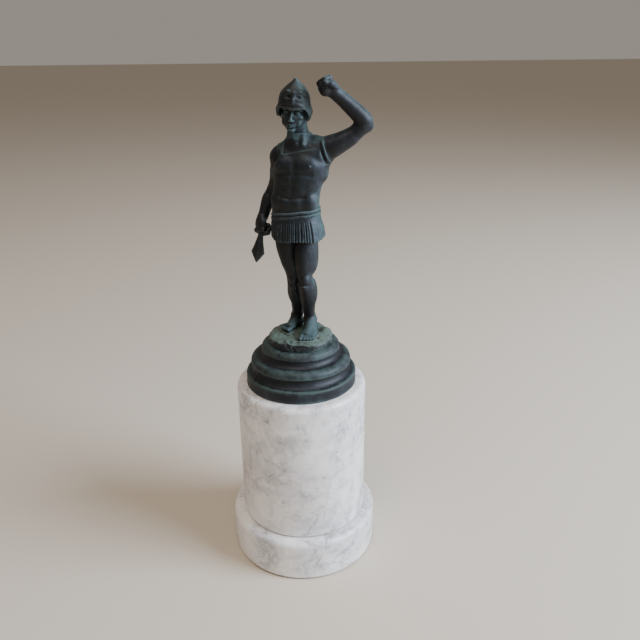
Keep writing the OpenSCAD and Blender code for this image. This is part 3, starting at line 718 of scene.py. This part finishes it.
def head_clay(c):
    c.add(head_egg(0, 0.7, 2.2, (4.9, 6.2, 5.3)))
    c.add(head_egg(0, -1.0, -1.8, (4.3, 4.75, 5.4)), 1.2)
    c.add(head_egg(0, -2.4, 2.8, (4.0, 3.4, 3.0)), 1.0)
    for s in (-1, 1):
        c.add(head_bar((s * 3.7, 0.8, -3.3), (s * 0.6, -4.0, -6.5), 1.0, 1.0), 1.5)
        c.add(head_egg(s * 3.1, -3.6, -1.7, (1.3, 1.15, 0.85)), 1.2)
        c.add(head_egg(s * 2.4, -3.6, -3.9, (1.5, 1.3, 1.6)), 1.0)
    c.add(head_egg(0, -4.55, -6.6, (1.35, 1.15, 0.95)), 0.9)
    c.add(head_egg(0, -4.75, -4.6, (1.85, 1.05, 1.35)), 0.9)
    for s in (-1, 1):
        c.cut(head_egg(s * 2.05, -5.75, -0.05, (1.35, 1.05, 0.85)), 0.8)
    for s in (-1, 1):
        c.add(head_bar((s * 0.6, -5.25, 1.12), (s * 2.1, -5.05, 1.42), 0.42, 0.42), 0.5)
        c.add(head_bar((s * 2.1, -5.05, 1.42), (s * 3.6, -4.0, 0.92), 0.42, 0.3), 0.5)
    c.add(head_bar((0, -5.05, 1.0), (0, -5.75, -0.9), 0.46, 0.5), 0.55)
    c.add(head_bar((0, -5.75, -0.9), (0, -6.55, -2.55), 0.5, 0.66), 0.35)
    c.add(head_egg(0, -6.5, -2.72, (0.72, 0.72, 0.56)), 0.3)
    for s in (-1, 1):
        c.add(head_egg(s * 0.78, -5.85, -2.9, (0.5, 0.72, 0.45)), 0.25)
        c.cut(head_egg(s * 0.42, -6.2, -3.32, (0.2, 0.34, 0.16)), 0.1)
        # eye: ball, upper and lower lid
        c.add(head_egg(s * 2.05, -4.3, 0.0, (1.02, 1.0, 0.92)), 0.12)
        upper = [(0.98, -4.86, -0.16), (1.5, -5.24, 0.3), (2.1, -5.34, 0.48), (2.7, -5.1, 0.32),
                 (3.14, -4.62, -0.06)]
        lower = [(1.02, -4.86, -0.2), (1.6, -5.14, -0.5), (2.15, -5.18, -0.58), (2.72, -4.95, -0.42),
                 (3.12, -4.6, -0.08)]
        for lid, r, soft in ((upper, 0.19, 0.14), (lower, 0.14, 0.16)):
            for a, b in pairs(lid):
                c.add(head_bar((s * a[0], *a[1:]), (s * b[0], *b[1:]), r, r), soft)
        # lips
        c.add(head_bar((s * 1.45, -5.2, -4.74), (s * 0.3, -5.78, -4.5), 0.2, 0.31), 0.22)
        c.add(head_bar((s * 1.2, -5.22, -5.02), (s * 0.0, -5.72, -5.16), 0.22, 0.36), 0.22)
        c.cut(head_bar((s * 1.62, -5.25, -4.84), (0, -6.1, -4.8), 0.07, 0.08), 0.14)
        # ear
        c.add(head_egg(s * 4.75, 1.0, -0.9, (0.5, 1.15, 1.75), tilt(0, 8)), 0.3)
        c.cut(head_egg(s * 5.35, 0.7, -0.8, (0.42, 0.6, 1.0)), 0.2)
    c.cut(head_egg(0, -6.1, -3.95, (0.22, 0.5, 0.5)), 0.25)
    c.cut(head_egg(0, -5.95, -5.85, (1.2, 0.55, 0.32)), 0.5)
    neck_clay(c)
    c.add(head_egg(0, -2.5, -8.6, (0.9, 1.2, 1.2)), 1.0)
    return c


def neck_clay(c):
    """The neck with its two slanting muscles."""
    c.limb([(*hp(0, 1.9, -1.0), 4.1), (*hp(0.1, 1.9, -4.2), 4.3), (1.1, 2.2, 101.5, 4.55),
            (1.4, 2.6, 98.5, 5.1), (1.6, 2.8, 94, 6.2)], 1.2)
    for s in (-1, 1):
        c.add(bar(hp(s * 4.3, 2.2, -3.2), vec(1.6 + s * 1.5, -3.2 - s * 0.4, 95.4), 1.1, 0.9), 1.4)
    return c


HELMET_ROWS = [
    (-7.6, 0, 1.9, 5.4, 6.6), (-6.0, 0, 1.7, 6.0, 7.2), (-4.2, 0, 1.4, 6.8, 7.8), (-2, 0, 1.0, 7.6, 8.2),
    (0.0, 0, 0.7, 8.4, 8.6), (1.6, 0, 0.4, 8.3, 8.5), (3.0, 0, 0.3, 7.6, 8.1), (4.8, -0.1, 0.25, 7.3, 7.8),
    (6.8, -0.1, 0.2, 7.0, 7.6), (8.6, -0.1, 0.1, 6.3, 7.0), (10.2, 0, 0, 5.1, 5.9),
    (11.8, 0.1, -0.3, 3.6, 4.3), (13.2, 0.1, -0.7, 2.0, 2.6), (14.2, 0.1, -1.0, 0.9, 1.2),
]


def helmet_clay():
    """Built in the head's own frame and turned with it afterwards."""
    c = Clay((-9.8, -10.4, -8), (9.8, 11, 15.6), 0.14)
    c.add(loft(HELMET_ROWS, 2.1, (1, 0), -8, 14.5))
    x, y, z = c.grid
    theta = np.degrees(np.abs(np.arctan2(x + 0 * z, -(y - 0.6))))
    edge = 2.4 - 4.6 * ease(40, 74, theta) - 3.4 * ease(80, 150, theta) - 0.4 * ease(14, 0, theta)
    # crest, brows, nose guard and the two eye openings of the pushed-up mask
    c.add(bar((0.1, -1.6, 13.9), (0.1, 1.6, 13.2), 0.8, 0.8), 1.0)
    ridge = [(0.1, 1.6, 13.2), (0.1, 5.0, 10.9), (0, 7.8, 6.0), (0, 9.0, 0)]
    for a, b in pairs(ridge):
        c.add(bar(a, b, 0.75, 0.65), 0.5)
    mid = 0.3
    for s in (-1, 1):
        c.cut(egg((mid + s * 2.75, -7.35, 7.7), (1.8, 1.35, 0.8), tilt(1, 12 * s)), 0.5)
        c.add(bar((mid + s * 0.5, -6.2, 9.2), (mid + s * 2.8, -5.3, 9.7), 0.4, 0.4), 0.9)
        c.add(bar((mid + s * 2.8, -5.3, 9.7), (mid + s * 5.0, -4.0, 8.4), 0.4, 0.3), 0.9)
        c.add(bar((mid + s * 0.9, -7.2, 5.0), (mid + s * 4.8, -5.9, 3.6), 0.4, 0.3), 1.0)
    c.add(bar((mid, -5.8, 9.6), (mid, -7.4, 6.6), 0.5, 0.5), 1.0)
    c.add(bar((mid, -7.4, 6.6), (mid, -7.7, 5.0), 0.5, 0.4), 0.8)
    c.cut(bar((mid, -8.5, 3.9), (mid, -8.7, 2.6), 0.22, 0.3), 0.3)
    # rolled rim, then the hollow and the lower edge
    band = bell(z - edge - 0.55, 0.5)
    c.d -= (0.3 * band).astype(np.float32)
    inner = c.blank()
    inner.add(loft([(a, b, e, w - 1.2, d - 1.2) for a, b, e, w, d in HELMET_ROWS[:9]], 2.1, (1, 0), -9, 4.4))
    inner.add(egg((0, 0.8, 3.2), (5.75, 7.2, 6.2)), 0.6)
    c.d = smooth_max(c.d, -inner.d, 0.25)
    c.d = smooth_max(c.d, (edge - z).astype(np.float32), 0.3)
    return c


def turned_about_head(o):
    """Moves a mesh made in the head's frame to its place."""
    v = np.empty(len(o.data.vertices) * 3, np.float32)
    o.data.vertices.foreach_get("co", v)
    v = v.reshape(-1, 3) / MM
    v = v @ HEAD_TURN.T + HELMET + (0, 0, SOLE)
    o.data.vertices.foreach_set("co", (v * MM).astype(np.float32).ravel())
    o.data.update()
    return o


# ---- Legs ----


def foot(c, heel, tip, side, wide, lift):
    """A bare foot; side is +1 where the big toe lies to the walker's left."""
    f = unit((tip - heel) * (1, 1, 0))
    out = unit(np.cross([0, 0, 1], f)) * side
    up = vec(0, 0, 1)
    length = np.linalg.norm(tip - heel)
    turn = np.array([out, f, up]).T

    def at(along, across, high):
        return heel + (tip - heel) * along + out * across * wide + up * high

    c.add(egg(at(0.09, 0, 2.2), (2.3 * wide, 2.7, 2.4), turn), 1.0)
    c.add(bar(at(0.12, -1.0, 1.3), at(0.66, -1.9, 1.2), 1.4, 1.25), 1.4)
    c.add(bar(at(0.15, 0.5, 2.6), at(0.68, 1.1, 1.9), 2.2, 1.6), 1.6)
    c.add(bar(at(0.3, 0.2, 3.8 + lift), at(0.72, 0, 1.9), 2.2, 1.5), 2.0)
    c.add(bar(at(0.66, 1.6, 1.5), at(0.74, -1.6, 1.3), 1.6, 1.3), 1.2)
    for k in range(5):
        across = 1.95 - (0, 1.25, 2.2, 3.1, 3.95)[k]
        r = (1.12, 0.84, 0.8, 0.76, 0.72)[k] * (0.7 + 0.3 * wide)
        reach = (1.0, 0.985, 0.95, 0.90, 0.84)[k]
        start, end = at(0.68, across * 0.9, 1.4), at(reach - 0.04, across * 1.03, 0.75)
        knee = at(0.56 * (0.72 + reach), across, 1.35)
        c.add(bar(start, knee, r * 1.05, r), 0.5)
        c.add(bar(knee, end, r * 0.95, r), 0.15)
    return c


L_KNEE, L_ANKLE = vec(2.9, -2.0, 29.6), vec(5.4, 4.2, 5.6)
L_HEEL, L_TIP = vec(6.6, 7.0, -0.2), vec(2.6, -12.2, -0.6)
R_KNEE, R_ANKLE = vec(-2.1, 2.4, 28.6), vec(-1.2, 9.2, 6.6)
R_HEEL, R_TIP = vec(0.3, 12.0, 0.2), vec(-8.4, 0.4, 0.0)


def left_leg(c):
    c.limb([(3.9, 0.8, 64, 5.9), (3.9, 0.8, 57, 6.0), (3.7, 0.4, 50, 5.9), (3.1, -0.7, 44.5, 5.5),
            (2.5, -1.3, 38.5, 4.9), (2.7, -1.7, 33.6, 4.05), (*L_KNEE, 4.15), (3.7, -1.2, 25, 4.35),
            (4.3, -0.2, 20.5, 4.05), (4.6, 1.2, 16, 3.6), (4.8, 2.6, 11, 3.05),
            (*L_ANKLE + (0, 0.1, 0.6), 2.85)])
    c.add(egg((2.2, -3.2, 43), (3.0, 2.7, 8.5), tilt(0, -8)), 2.0)
    c.add(egg((5.4, -1.6, 43), (2.8, 3.0, 9.0), tilt(0, -6)), 2.0)
    c.add(egg((4.0, 3.0, 44), (4.0, 3.0, 9.5), tilt(0, 4)), 1.8)
    c.add(egg(L_KNEE + (-0.1, -3.2, 0.6), (1.9, 1.4, 2.2)), 1.0)
    c.add(egg(L_KNEE + (-2.0, -1.8, 3.8), (1.5, 1.6, 2.4)), 1.2)
    c.cut(bar(L_KNEE + (-1.8, -4.9, -2.1), L_KNEE + (1.8, -4.8, -2.1), 0.4, 0.4), 1.0)
    c.add(bar(L_KNEE + (-0.2, -3.1, -3.6), L_ANKLE + (-0.6, -1.9, 3), 1.4, 1.1), 1.6)
    c.add(egg((6.5, 0.9, 22.6), (2.7, 2.9, 6.8), tilt(0, -12)), 1.8)
    c.add(egg((7.0, 0.4, 42), (3.0, 3.4, 9.5), tilt(0, -6)), 2.0)
    c.add(egg((2.2, 1.3, 22.0), (2.1, 2.6, 5.4), tilt(0, -12)), 1.6)
    c.add(ball(L_ANKLE + (-2.2, 0.2, 0.4), 1.1), 0.9)
    c.add(ball(L_ANKLE + (2.3, 0.8, -0.4), 1.1), 0.9)
    c.add(bar(L_ANKLE + (0.4, 2.6, 3.5), L_HEEL + (0, 1.2, 2.4), 0.9, 1.2), 1.2)
    foot(c, L_HEEL, L_TIP, -1, 1.5, 1.2)
    c.add(bar(L_ANKLE + (0, 0, 1), mix(L_HEEL, L_TIP, 0.45) + (0, 0, 3.0), 2.9, 2.7), 1.8)
    c.add(bar(L_ANKLE + (1.0, 0, -1), mix(L_HEEL, L_TIP, 0.62) + (2.4, 0, 1.3), 2.2, 1.9), 1.6)
    # a thin raised line across the shin with a hollow above it
    x, y, z = c.grid
    front = ease(1.0, -2.5, y) * ease(3.4, 2.4, x) * (np.abs(c.d) < 1.5)
    c.d -= (0.3 * bell(z - 27.0, 0.28) * front).astype(np.float32)
    c.d += (0.7 * np.exp(-((z - 29.8) / 1.3) ** 2 - ((x + 0.1) / 1.3) ** 2) * front).astype(np.float32)
    return c


def right_leg(c):
    c.limb([(-5.8, 3.6, 64, 5.7), (-5.8, 3.4, 56, 5.8), (-5.6, 3.4, 49, 5.8), (-5.1, 3.2, 43.5, 5.4),
            (-3.7, 2.8, 37.2, 4.7), (-2.7, 2.6, 32, 4.0), (-2.2, 2.7, 28.5, 3.9), (-2.2, 3.6, 22, 3.65),
            (-1.4, 5.7, 15.6, 3.2), (-1.0, 8.0, 9.2, 2.8), (*R_ANKLE + (0, 0, 0.5), 2.65)])
    c.add(egg((-5.8, 0.6, 43), (3.0, 2.7, 8.5), tilt(0, 2)), 1.8)
    c.add(egg((-4.6, 5.8, 43), (3.6, 2.8, 9.0), tilt(0, 4)), 1.8)
    c.add(egg(R_KNEE + (-0.8, -2.8, 0.5), (1.8, 1.5, 2.2)), 1.0)
    c.add(bar(R_KNEE + (-0.7, -2.8, -3.6), R_ANKLE + (-0.8, -1.7, 3), 1.3, 1.0), 1.6)
    c.add(egg((-3.4, 4.9, 21.6), (2.2, 2.6, 5.4), tilt(0, -16)), 1.5)
    c.add(egg((-0.8, 4.8, 21.6), (2.2, 2.6, 5.4), tilt(0, -16)), 1.5)
    c.add(ball(R_ANKLE + (-2.1, 0.5, 0.1), 1.05), 0.8)
    c.add(ball(R_ANKLE + (1.8, -0.4, 0.4), 1.05), 0.8)
    c.add(bar(R_ANKLE + (0.6, 2.0, 3.5), R_HEEL + (0.4, 0.8, 2.4), 0.9, 1.2), 1.2)
    foot(c, R_HEEL, R_TIP, 1, 1.15, 0.5)
    c.add(bar(R_ANKLE + (0, 0, 1), mix(R_HEEL, R_TIP, 0.42) + (0, 0, 3.0), 2.6, 2.2), 1.6)
    c.cut(egg(R_ANKLE + (1.1, -2.2, -1.6), (0.55, 1.0, 0.75)), 0.3)
    return c


# ---- Pieces of the figure ----

NECK = 97.4
WAIST, WAIST_UP = vec(-1, 2.1, 61.7), vec(-0.13 * CT, 0.13 * ST, 1)
ARM_ROOT = vec(-8.2, 4.4, 88.8)


def in_neck(c):
    """Below nought where the head's casting is: above its round socket and inside it."""
    x, y, z = c.grid
    socket = np.sqrt((x - 1.5) ** 2 + (y - 2.6) ** 2) - 5.2
    return np.maximum(NECK - z, np.minimum(socket + 0 * z, 100.4 - z)).astype(np.float32)


def joined(arm, body):
    """Arm and body as one surface, softly joined at the shoulder and barely at the flank, and by how
    much more a place belongs to the body than to the arm."""
    x, y, z = body.grid
    near = ease(11, 4, np.sqrt((x - ARM_ROOT[0]) ** 2 + (y - ARM_ROOT[1]) ** 2 + (z - ARM_ROOT[2]) ** 2))
    k = (0.25 + 1.7 * near).astype(np.float32)
    apart = arm.d - body.d
    h = np.maximum(k - np.abs(apart), 0) / k
    owner = apart + 1.5 * ease(9, 6, armhole(body)) * near * armhole(body)
    return np.minimum(arm.d, body.d) - h * h * k * 0.25, owner.astype(np.float32)


torso = raised_shoulder(garment(torso_clay(Clay((-17, -13, 59), (21, 15, 101), 0.2))))
both, owner = joined(right_arm(torso.blank()), torso)
torso.d = np.maximum(both, -owner)
split_shoulder(torso, False)
rough(torso)
torso.half(WAIST, -WAIST_UP)
torso.d = np.maximum(smooth_min(torso.d, neck_clay(torso.blank()).d, 1.6), -in_neck(torso))
torso_piece = torso.mesh("torso_casting", BRONZE)

c = Clay((-25, 0, 45), (-3, 18, 97), 0.18)
arm = hand(right_arm(c.blank()), R_GRIP, R_WRIST - R_GRIP, (-0.85, -0.53, 0.0), 1.8)
arm.cut([bar(R_GRIP + (1.4, -7, 0.6), R_GRIP + (1.2, 1, 0.6), 0.65, 0.65)], 0.3)
both, owner = joined(arm, garment(torso_clay(c.blank())))
c.d = np.maximum(both, owner + GAP)
arm_right_piece = rough(c).mesh("right_arm_casting", BRONZE_SKIN)

c = Clay((8, -16, 83), (40, 6, 128), 0.18)
raised_shoulder(garment(torso_clay(c)))
arm = left_arm(c.blank())
forearm = unit(L_WRIST - L_ELBOW)
hand(arm, L_WRIST + forearm * 5.4, -forearm, (0.45, 0.5, 0.6), 1.55, -1)
arm.add(egg(L_WRIST + forearm * 3.4 + (-1.5, -0.8, -1.2), (2.6, 3.0, 3.2)), 1.6)
c.d = smooth_min(c.d, arm.d, 1.2)
split_shoulder(c, True)
arm_left_piece = rough(c).mesh("left_arm_casting", BRONZE_SKIN)

c = Clay((-9, -9, 90), (9, 11, 119), 0.12)
head_clay(c)
collar = torso_clay(c.blank()).d + 8 * ease(98.3, 101.5, c.grid[2])
c.d = np.maximum(smooth_min(c.d, collar.astype(np.float32), 1.6), in_neck(c) + GAP)
head_piece = c.mesh("head_casting", BRONZE)

helmet_piece = turned_about_head(rough(helmet_clay(), 0.04).mesh("helmet_casting", BRONZE_HEAD, 0))

c = Clay((-5, -15, -3), (14, 12, 61), 0.2)
left_leg(c)
c.half((0, 0, 60), (0, 0, 1))
leg_left_piece = rough(c).mesh("left_leg_casting", BRONZE_SKIN)
c = Clay((-14, -6, -2), (5, 17, 61), 0.2)
right_leg(c)
c.d = np.maximum(c.d, -left_leg(c.blank()).d + GAP)
c.half((0, 0, 60), (0, 0, 1))
leg_right_piece = rough(c).mesh("right_leg_casting", BRONZE_SKIN)


def skirt_clay():
    c = Clay((-17, -13, 47), (17, 17, 66), 0.18)
    rows = [(47, 0.5, 1.8, 13.5, 10.4), (50, 0.4, 1.8, 13.4, 10.2), (56, 0.0, 2.0, 12.9, 9.6),
            (61, -0.7, 2.1, 12.0, 8.8), (66, -0.8, 2.2, 11.7, 8.3)]
    x, y, z = c.grid
    u, v = body_axes(x + 0.4, y - 1.9)
    a = np.arctan2(u / 12.8, -v / 9.8)
    turns = a / (2 * np.pi) * 30
    slot = np.abs((turns + 0.3 * np.sin(3 * a) + 0.12 * np.sin(11 * a)) % 1 - 0.5)
    plain = ease(0.75, 1.1, a) * ease(2.6, 2.0, a)
    deep = (1 - 0.75 * plain) * ease(61.0, 57.0, z)
    groove = bell(0.5 - slot, 0.13)
    crown = 0.28 * (1 - (1 - 2 * np.minimum(slot, 0.5)) ** 2)
    c.add(loft(rows, 2.25, below=46, above=67))
    c.d += (deep * (0.6 * groove - crown)).astype(np.float32)
    c.d += (0.25 * noise(everywhere(c, 0.3), 3.2, 8)).astype(np.float32)
    c.cut(loft([(a0, b, e, w - 1.3, d - 1.3) for a0, b, e, w, d in rows], 2.25, below=40, above=58.5), 0.3)
    hem = 49.9 + 0.35 * np.sin(4 * a + 0.6) + 0.8 * (2 * (0.5 - slot)) ** 4 + 1.1 * ease(0.7, 1.5, np.abs(a))
    c.d = smooth_max(c.d, (hem - z).astype(np.float32), 0.4)
    c.half(WAIST, WAIST_UP)
    return c


skirt_piece = rough(skirt_clay(), 0.06).mesh("skirt_casting", BRONZE)


def belt_clay():
    c = Clay((-17, -13, 58), (17, 17, 69), 0.15)
    x, y, z = c.grid
    u, _ = body_axes(x + 1.0, y - 2.1)
    waist = loft([(56, -0.6, 2.1, 12.0, 8.7), (63, -0.7, 2.1, 11.7, 8.4), (70, -0.6, 1.9, 11.5, 8.2)])
    d = waist.distance(c.grid)
    height = z - 0.13 * u + 0.25 * noise(everywhere(c), 4.5, 5)
    upper = 0.85 * np.sqrt(np.clip(1 - ((height - 63.4) / 0.95) ** 2, 0, 1))
    lower = 0.95 * np.sqrt(np.clip(1 - ((height - 61.6) / 1.0) ** 2, 0, 1))
    c.d = (d - np.maximum(upper, lower) + 0.3).astype(np.float32)
    c.d = np.maximum(c.d, np.abs(height - 62.5) - 1.95).astype(np.float32)
    c.d = np.maximum(c.d, -torso_clay(c.blank()).d - 0.5)
    return c


belt_piece = rough(belt_clay(), 0.06).mesh("belt_casting", BRONZE)


def blade_clay():
    top, tip = vec(-18.5, 7.2, 51.0), vec(-21.4, 6.2, 36.6)
    down = unit(tip - top)
    wide = unit(np.cross(down, (0.2, 1, 0)))
    thick = np.cross(down, wide)
    c = Clay((-26, 2, 34), (-15, 11, 54), 0.12)
    q = less(c.grid, top)
    along, across, through = dot(down, q), np.abs(dot(wide, q)), np.abs(dot(thick, q))
    length = np.linalg.norm(tip - top)
    w = np.interp(along, [0, 0.25 * length, 0.66 * length, length], [1.1, 1.7, 3.2, 0.2])
    t = np.interp(along, [0, 0.55 * length, 0.68 * length, length], [0.95, 1.15, 1.0, 0.15])
    d = (across / w + through / t - 1) / np.sqrt(1 / w ** 2 + 1 / t ** 2)
    c.d = np.maximum(d, np.maximum(-along, along - length)).astype(np.float32)
    c.d -= 0.12
    return c


blade_piece = blade_clay().mesh("blade_casting", BRONZE_HEAD)


def mound_clay():
    foot_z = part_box("socle")[1][2] / MM - SOLE
    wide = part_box("mound")[1][0] / MM
    c = Clay((-18.5, -18.5, -5), (18.5, 18.5, 4.5), 0.18)
    x, y, z = c.grid
    r = np.sqrt(x * x + y * y)
    coarse, small = noise(everywhere(c), 5.0, 21), noise(everywhere(c), 1.7, 22)

    def lump(cx, cy, size, high):
        return high * np.exp(-((x - cx) ** 2 + (y - cy) ** 2) / size ** 2)

    top = (-0.1 + lump(13.4, 1.2, 3.4, 2.4) + lump(9.5, 10, 4.5, 1.4) + lump(-8, 8, 6, 0.6)
           + lump(8, -6, 4.5, 0.7) + 0.6 * coarse + 0.3 * small - 0.7 * ease(12.5, 17, r))
    side = r - (wide - 0.2 + 0.35 * coarse * ease(-4, -2.5, z) + 0.15 * small)
    c.d = smooth_max((z - top) * 0.9, side * 0.95, 1.6).astype(np.float32)
    n = unit((-0.22, -0.92, 0.34))
    facet = n[0] * (x + 4) + n[1] * (y + 14.2) + n[2] * (z + 0.2) + 0.45 * small
    c.d = smooth_max(c.d, facet.astype(np.float32), 0.5)
    c.d = np.maximum(c.d, foot_z - z).astype(np.float32)
    feet = right_leg(left_leg(c.blank()))
    c.d = (c.d - 0.4 * bell(np.maximum(feet.d, 0), 0.9)).astype(np.float32)
    c.d = np.maximum(c.d, -feet.d)
    return c


mound_piece = mound_clay().mesh("ground_casting", BRONZE_ROCK)

# ---- Socle, column and plinth ----


def turned(name, profile, material, segments, wobble):
    """A closed turned solid from its outline (radius, height) in millimetres, foot to top."""
    profile = np.asarray(profile, float)
    rings = len(profile)
    a = np.linspace(0, 2 * np.pi, segments, endpoint=False)
    r = profile[:, 0][:, None] + np.zeros(segments)[None]
    z = profile[:, 1][:, None] + np.zeros(segments)[None]
    dr, dz = wobble(r, z, a[None])
    r, z = r + dr, z + dz
    verts = np.stack([r * np.cos(a), r * np.sin(a), z], 2).reshape(-1, 3)
    i = np.arange(rings - 1)[:, None] * segments
    j = np.arange(segments)[None]
    k = (j + 1) % segments
    faces = np.stack([i + j, i + k, i + segments + k, i + segments + j], 2).reshape(-1, 4)
    cap = np.arange(segments)
    loop = (rings - 1) * segments
    close = np.stack([loop + cap, loop + np.roll(cap, -1), np.roll(cap, -1), cap], 1)
    # convex bends of the outline are rubbed; hollow ones get painted shade
    step = np.diff(profile, axis=0)
    size = np.linalg.norm(step, axis=1)
    bend = np.cross(step[:-1], step[1:]) / (size[:-1] * size[1:])
    along = np.concatenate([[0], np.cumsum(size)])
    near = bell(along[:, None] - along[None, 1:-1], 0.8)
    wear_and_shade = np.clip((near * bend[None]).sum(1), -1, 1)
    return piece(name, verts * MM, np.concatenate([faces, close]), material, np.repeat(wear_and_shade, segments))


def arc(x, z, rx, rz, a, b, n):
    t = np.radians(np.linspace(a, b, n + 1))
    return [(x + rx * c, z + rz * s) for c, s in zip(np.cos(t), np.sin(t))]


def fine(profile, step):
    """Adds points so that no stretch of an outline is longer than step."""
    out = [profile[0]]
    for p, q in pairs(profile):
        n = max(1, int(math.ceil(math.dist(p, q) / step)))
        out += [(mix(p[0], q[0], k / n), mix(p[1], q[1], k / n)) for k in range(1, n + 1)]
    return out


def socle_profile():
    lo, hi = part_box("socle")
    z0, h, r1, r2, r3, swell = lo[2] / MM, (hi[2] - lo[2]) / MM, hi[0] / MM, 26.2, 20.4, 3.1

    def s(share):
        return z0 + h * share

    pts = [(13.7, z0 + 1.0), (r1 - 3, z0 + 1.0), (r1 - 2.6, z0), (r1 - 0.3, z0), (r1, z0 + 0.3)]
    pts += arc(r1 - 0.6, s(0.252), 0.6, 0.6, 0, 90, 6)
    pts += arc(r1 - 0.9, s(0.49), r1 - r2 + 0.6, h * 0.205, -90, -180, 16)
    pts += [(r2 - 0.3, s(0.5)), (r2, s(0.515))]
    pts += arc(r2 - swell, s(0.53), swell, h * 0.145, 0, 90, 14)
    pts += arc(r2 - swell - 0.2, s(0.82), r2 - r3 - swell + 0.1, h * 0.14, -90, -180, 12)
    pts += [(r3 - 0.3, s(0.83)), (r3, s(0.845))]
    pts += arc(r3 - 3.5, s(0.85), 3.5, h * 0.15, 0, 90, 14)
    pts += [(13.7, z0 + h)]
    return fine(pts, 0.5)


def socle_wobble(r, z, a):
    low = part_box("socle")[0][2] / MM
    free = ease(low + 0.2, low + 1.5, z)
    place = [r * np.cos(a), r * np.sin(a), z + 0 * a]
    lumps = noise(place, 3.0, 31) + 0.6 * noise(place, 1.2, 32)
    dr = (0.16 * np.sin(2 * a + 0.4) + 0.08 * np.sin(5 * a + z * 0.6) + 0.07 * lumps) * free - 0.12 * free
    dz = (0.12 * np.sin(3 * a + 1) + 0.05 * np.sin(7 * a)) * free * ease(15, 18, r)
    return dr, np.where(z > z.max() - 1.6, 0, dz)


socle_piece = turned("socle_casting", socle_profile(), BRONZE_SOCLE, 240, socle_wobble)

LOOKS = {"plinth": MARBLE, "column": MARBLE, "bedding": CEMENT, "felt_pad": FELT, "tie_rod": STEEL,
         "plinth_washer": STEEL, "spring_washer": STEEL, "hex_nut": STEEL, "foot_pins": STEEL,
         "mound_insert": BRASS, "locating_dowels": BRASS}
for node, material in LOOKS.items():
    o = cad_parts[node]
    o.data.materials.clear()
    o.data.materials.append(material)

for made, node in ((torso_piece, "torso"), (arm_right_piece, "arm_right"), (arm_left_piece, "arm_left"),
                   (head_piece, "head"), (helmet_piece, "helmet"), (leg_left_piece, "leg_left"),
                   (leg_right_piece, "leg_right"), (skirt_piece, "skirt"), (belt_piece, "belt"),
                   (blade_piece, "blade"), (mound_piece, "mound"), (socle_piece, "socle")):
    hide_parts(node)

# ---- Stage, light and camera ----


def plane(name, size, z, colour):
    mesh = bpy.data.meshes.new(name)
    s = size / 2
    mesh.from_pydata([(-s, -s, z), (s, -s, z), (s, s, z), (-s, s, z)], [], [(0, 1, 2, 3)])
    o = bpy.data.objects.new(name, mesh)
    bpy.context.scene.collection.objects.link(o)
    n = Nodes(name + " paint", Roughness=0.75)
    n.set("Base Color", n.blend(n.noise(3), colour, tuple(c * 0.97 for c in colour)))
    o.data.materials.append(n.material)
    return o


plane("floor", 40.0, 0.0, (0.62, 0.54, 0.45))

world = bpy.data.worlds.new("studio")
world.use_nodes = True
world.node_tree.nodes["Background"].inputs["Color"].default_value = (0.97, 0.88, 0.78, 1)
world.node_tree.nodes["Background"].inputs["Strength"].default_value = 0.32
bpy.context.scene.world = world


def area_light(name, place, target, size, power, colour):
    light = bpy.data.lights.new(name, "AREA")
    light.shape, light.size, light.energy, light.color = "DISK", size, power, colour
    o = bpy.data.objects.new(name, light)
    o.location = place
    o.rotation_euler = Vector(vec(*target) - vec(*place)).to_track_quat("-Z", "Y").to_euler()
    bpy.context.scene.collection.objects.link(o)


area_light("window", (1.0, -0.34, 0.66), (0, 0, 0.15), 0.75, 35.0, (0.72, 0.85, 1.0))
area_light("ceiling", (-0.2, -0.6, 1.7), (0, 0, 0.15), 1.0, 14.0, (1.0, 0.88, 0.74))


def add_camera():
    place, lens = (0, -0.30554, 0.26257), 36.06
    yaw, pitch, roll = math.radians(1.935), math.radians(22.64), math.radians(-0.606)
    forward = vec(math.sin(yaw) * math.cos(pitch), math.cos(yaw) * math.cos(pitch), -math.sin(pitch))
    right = unit(np.cross(forward, (0, 0, 1)))
    up = np.cross(right, forward)
    r = right * math.cos(roll) + up * math.sin(roll)
    u = -right * math.sin(roll) + up * math.cos(roll)
    m = Matrix([[r[k], u[k], -forward[k], place[k]] for k in range(3)] + [[0, 0, 0, 1]])
    data = bpy.data.cameras.new("camera")
    data.sensor_width, data.lens = 36.0, lens
    data.clip_start, data.clip_end = 0.01, 20
    o = bpy.data.objects.new("camera", data)
    o.matrix_world = m
    bpy.context.scene.collection.objects.link(o)
    bpy.context.scene.camera = o


add_camera()
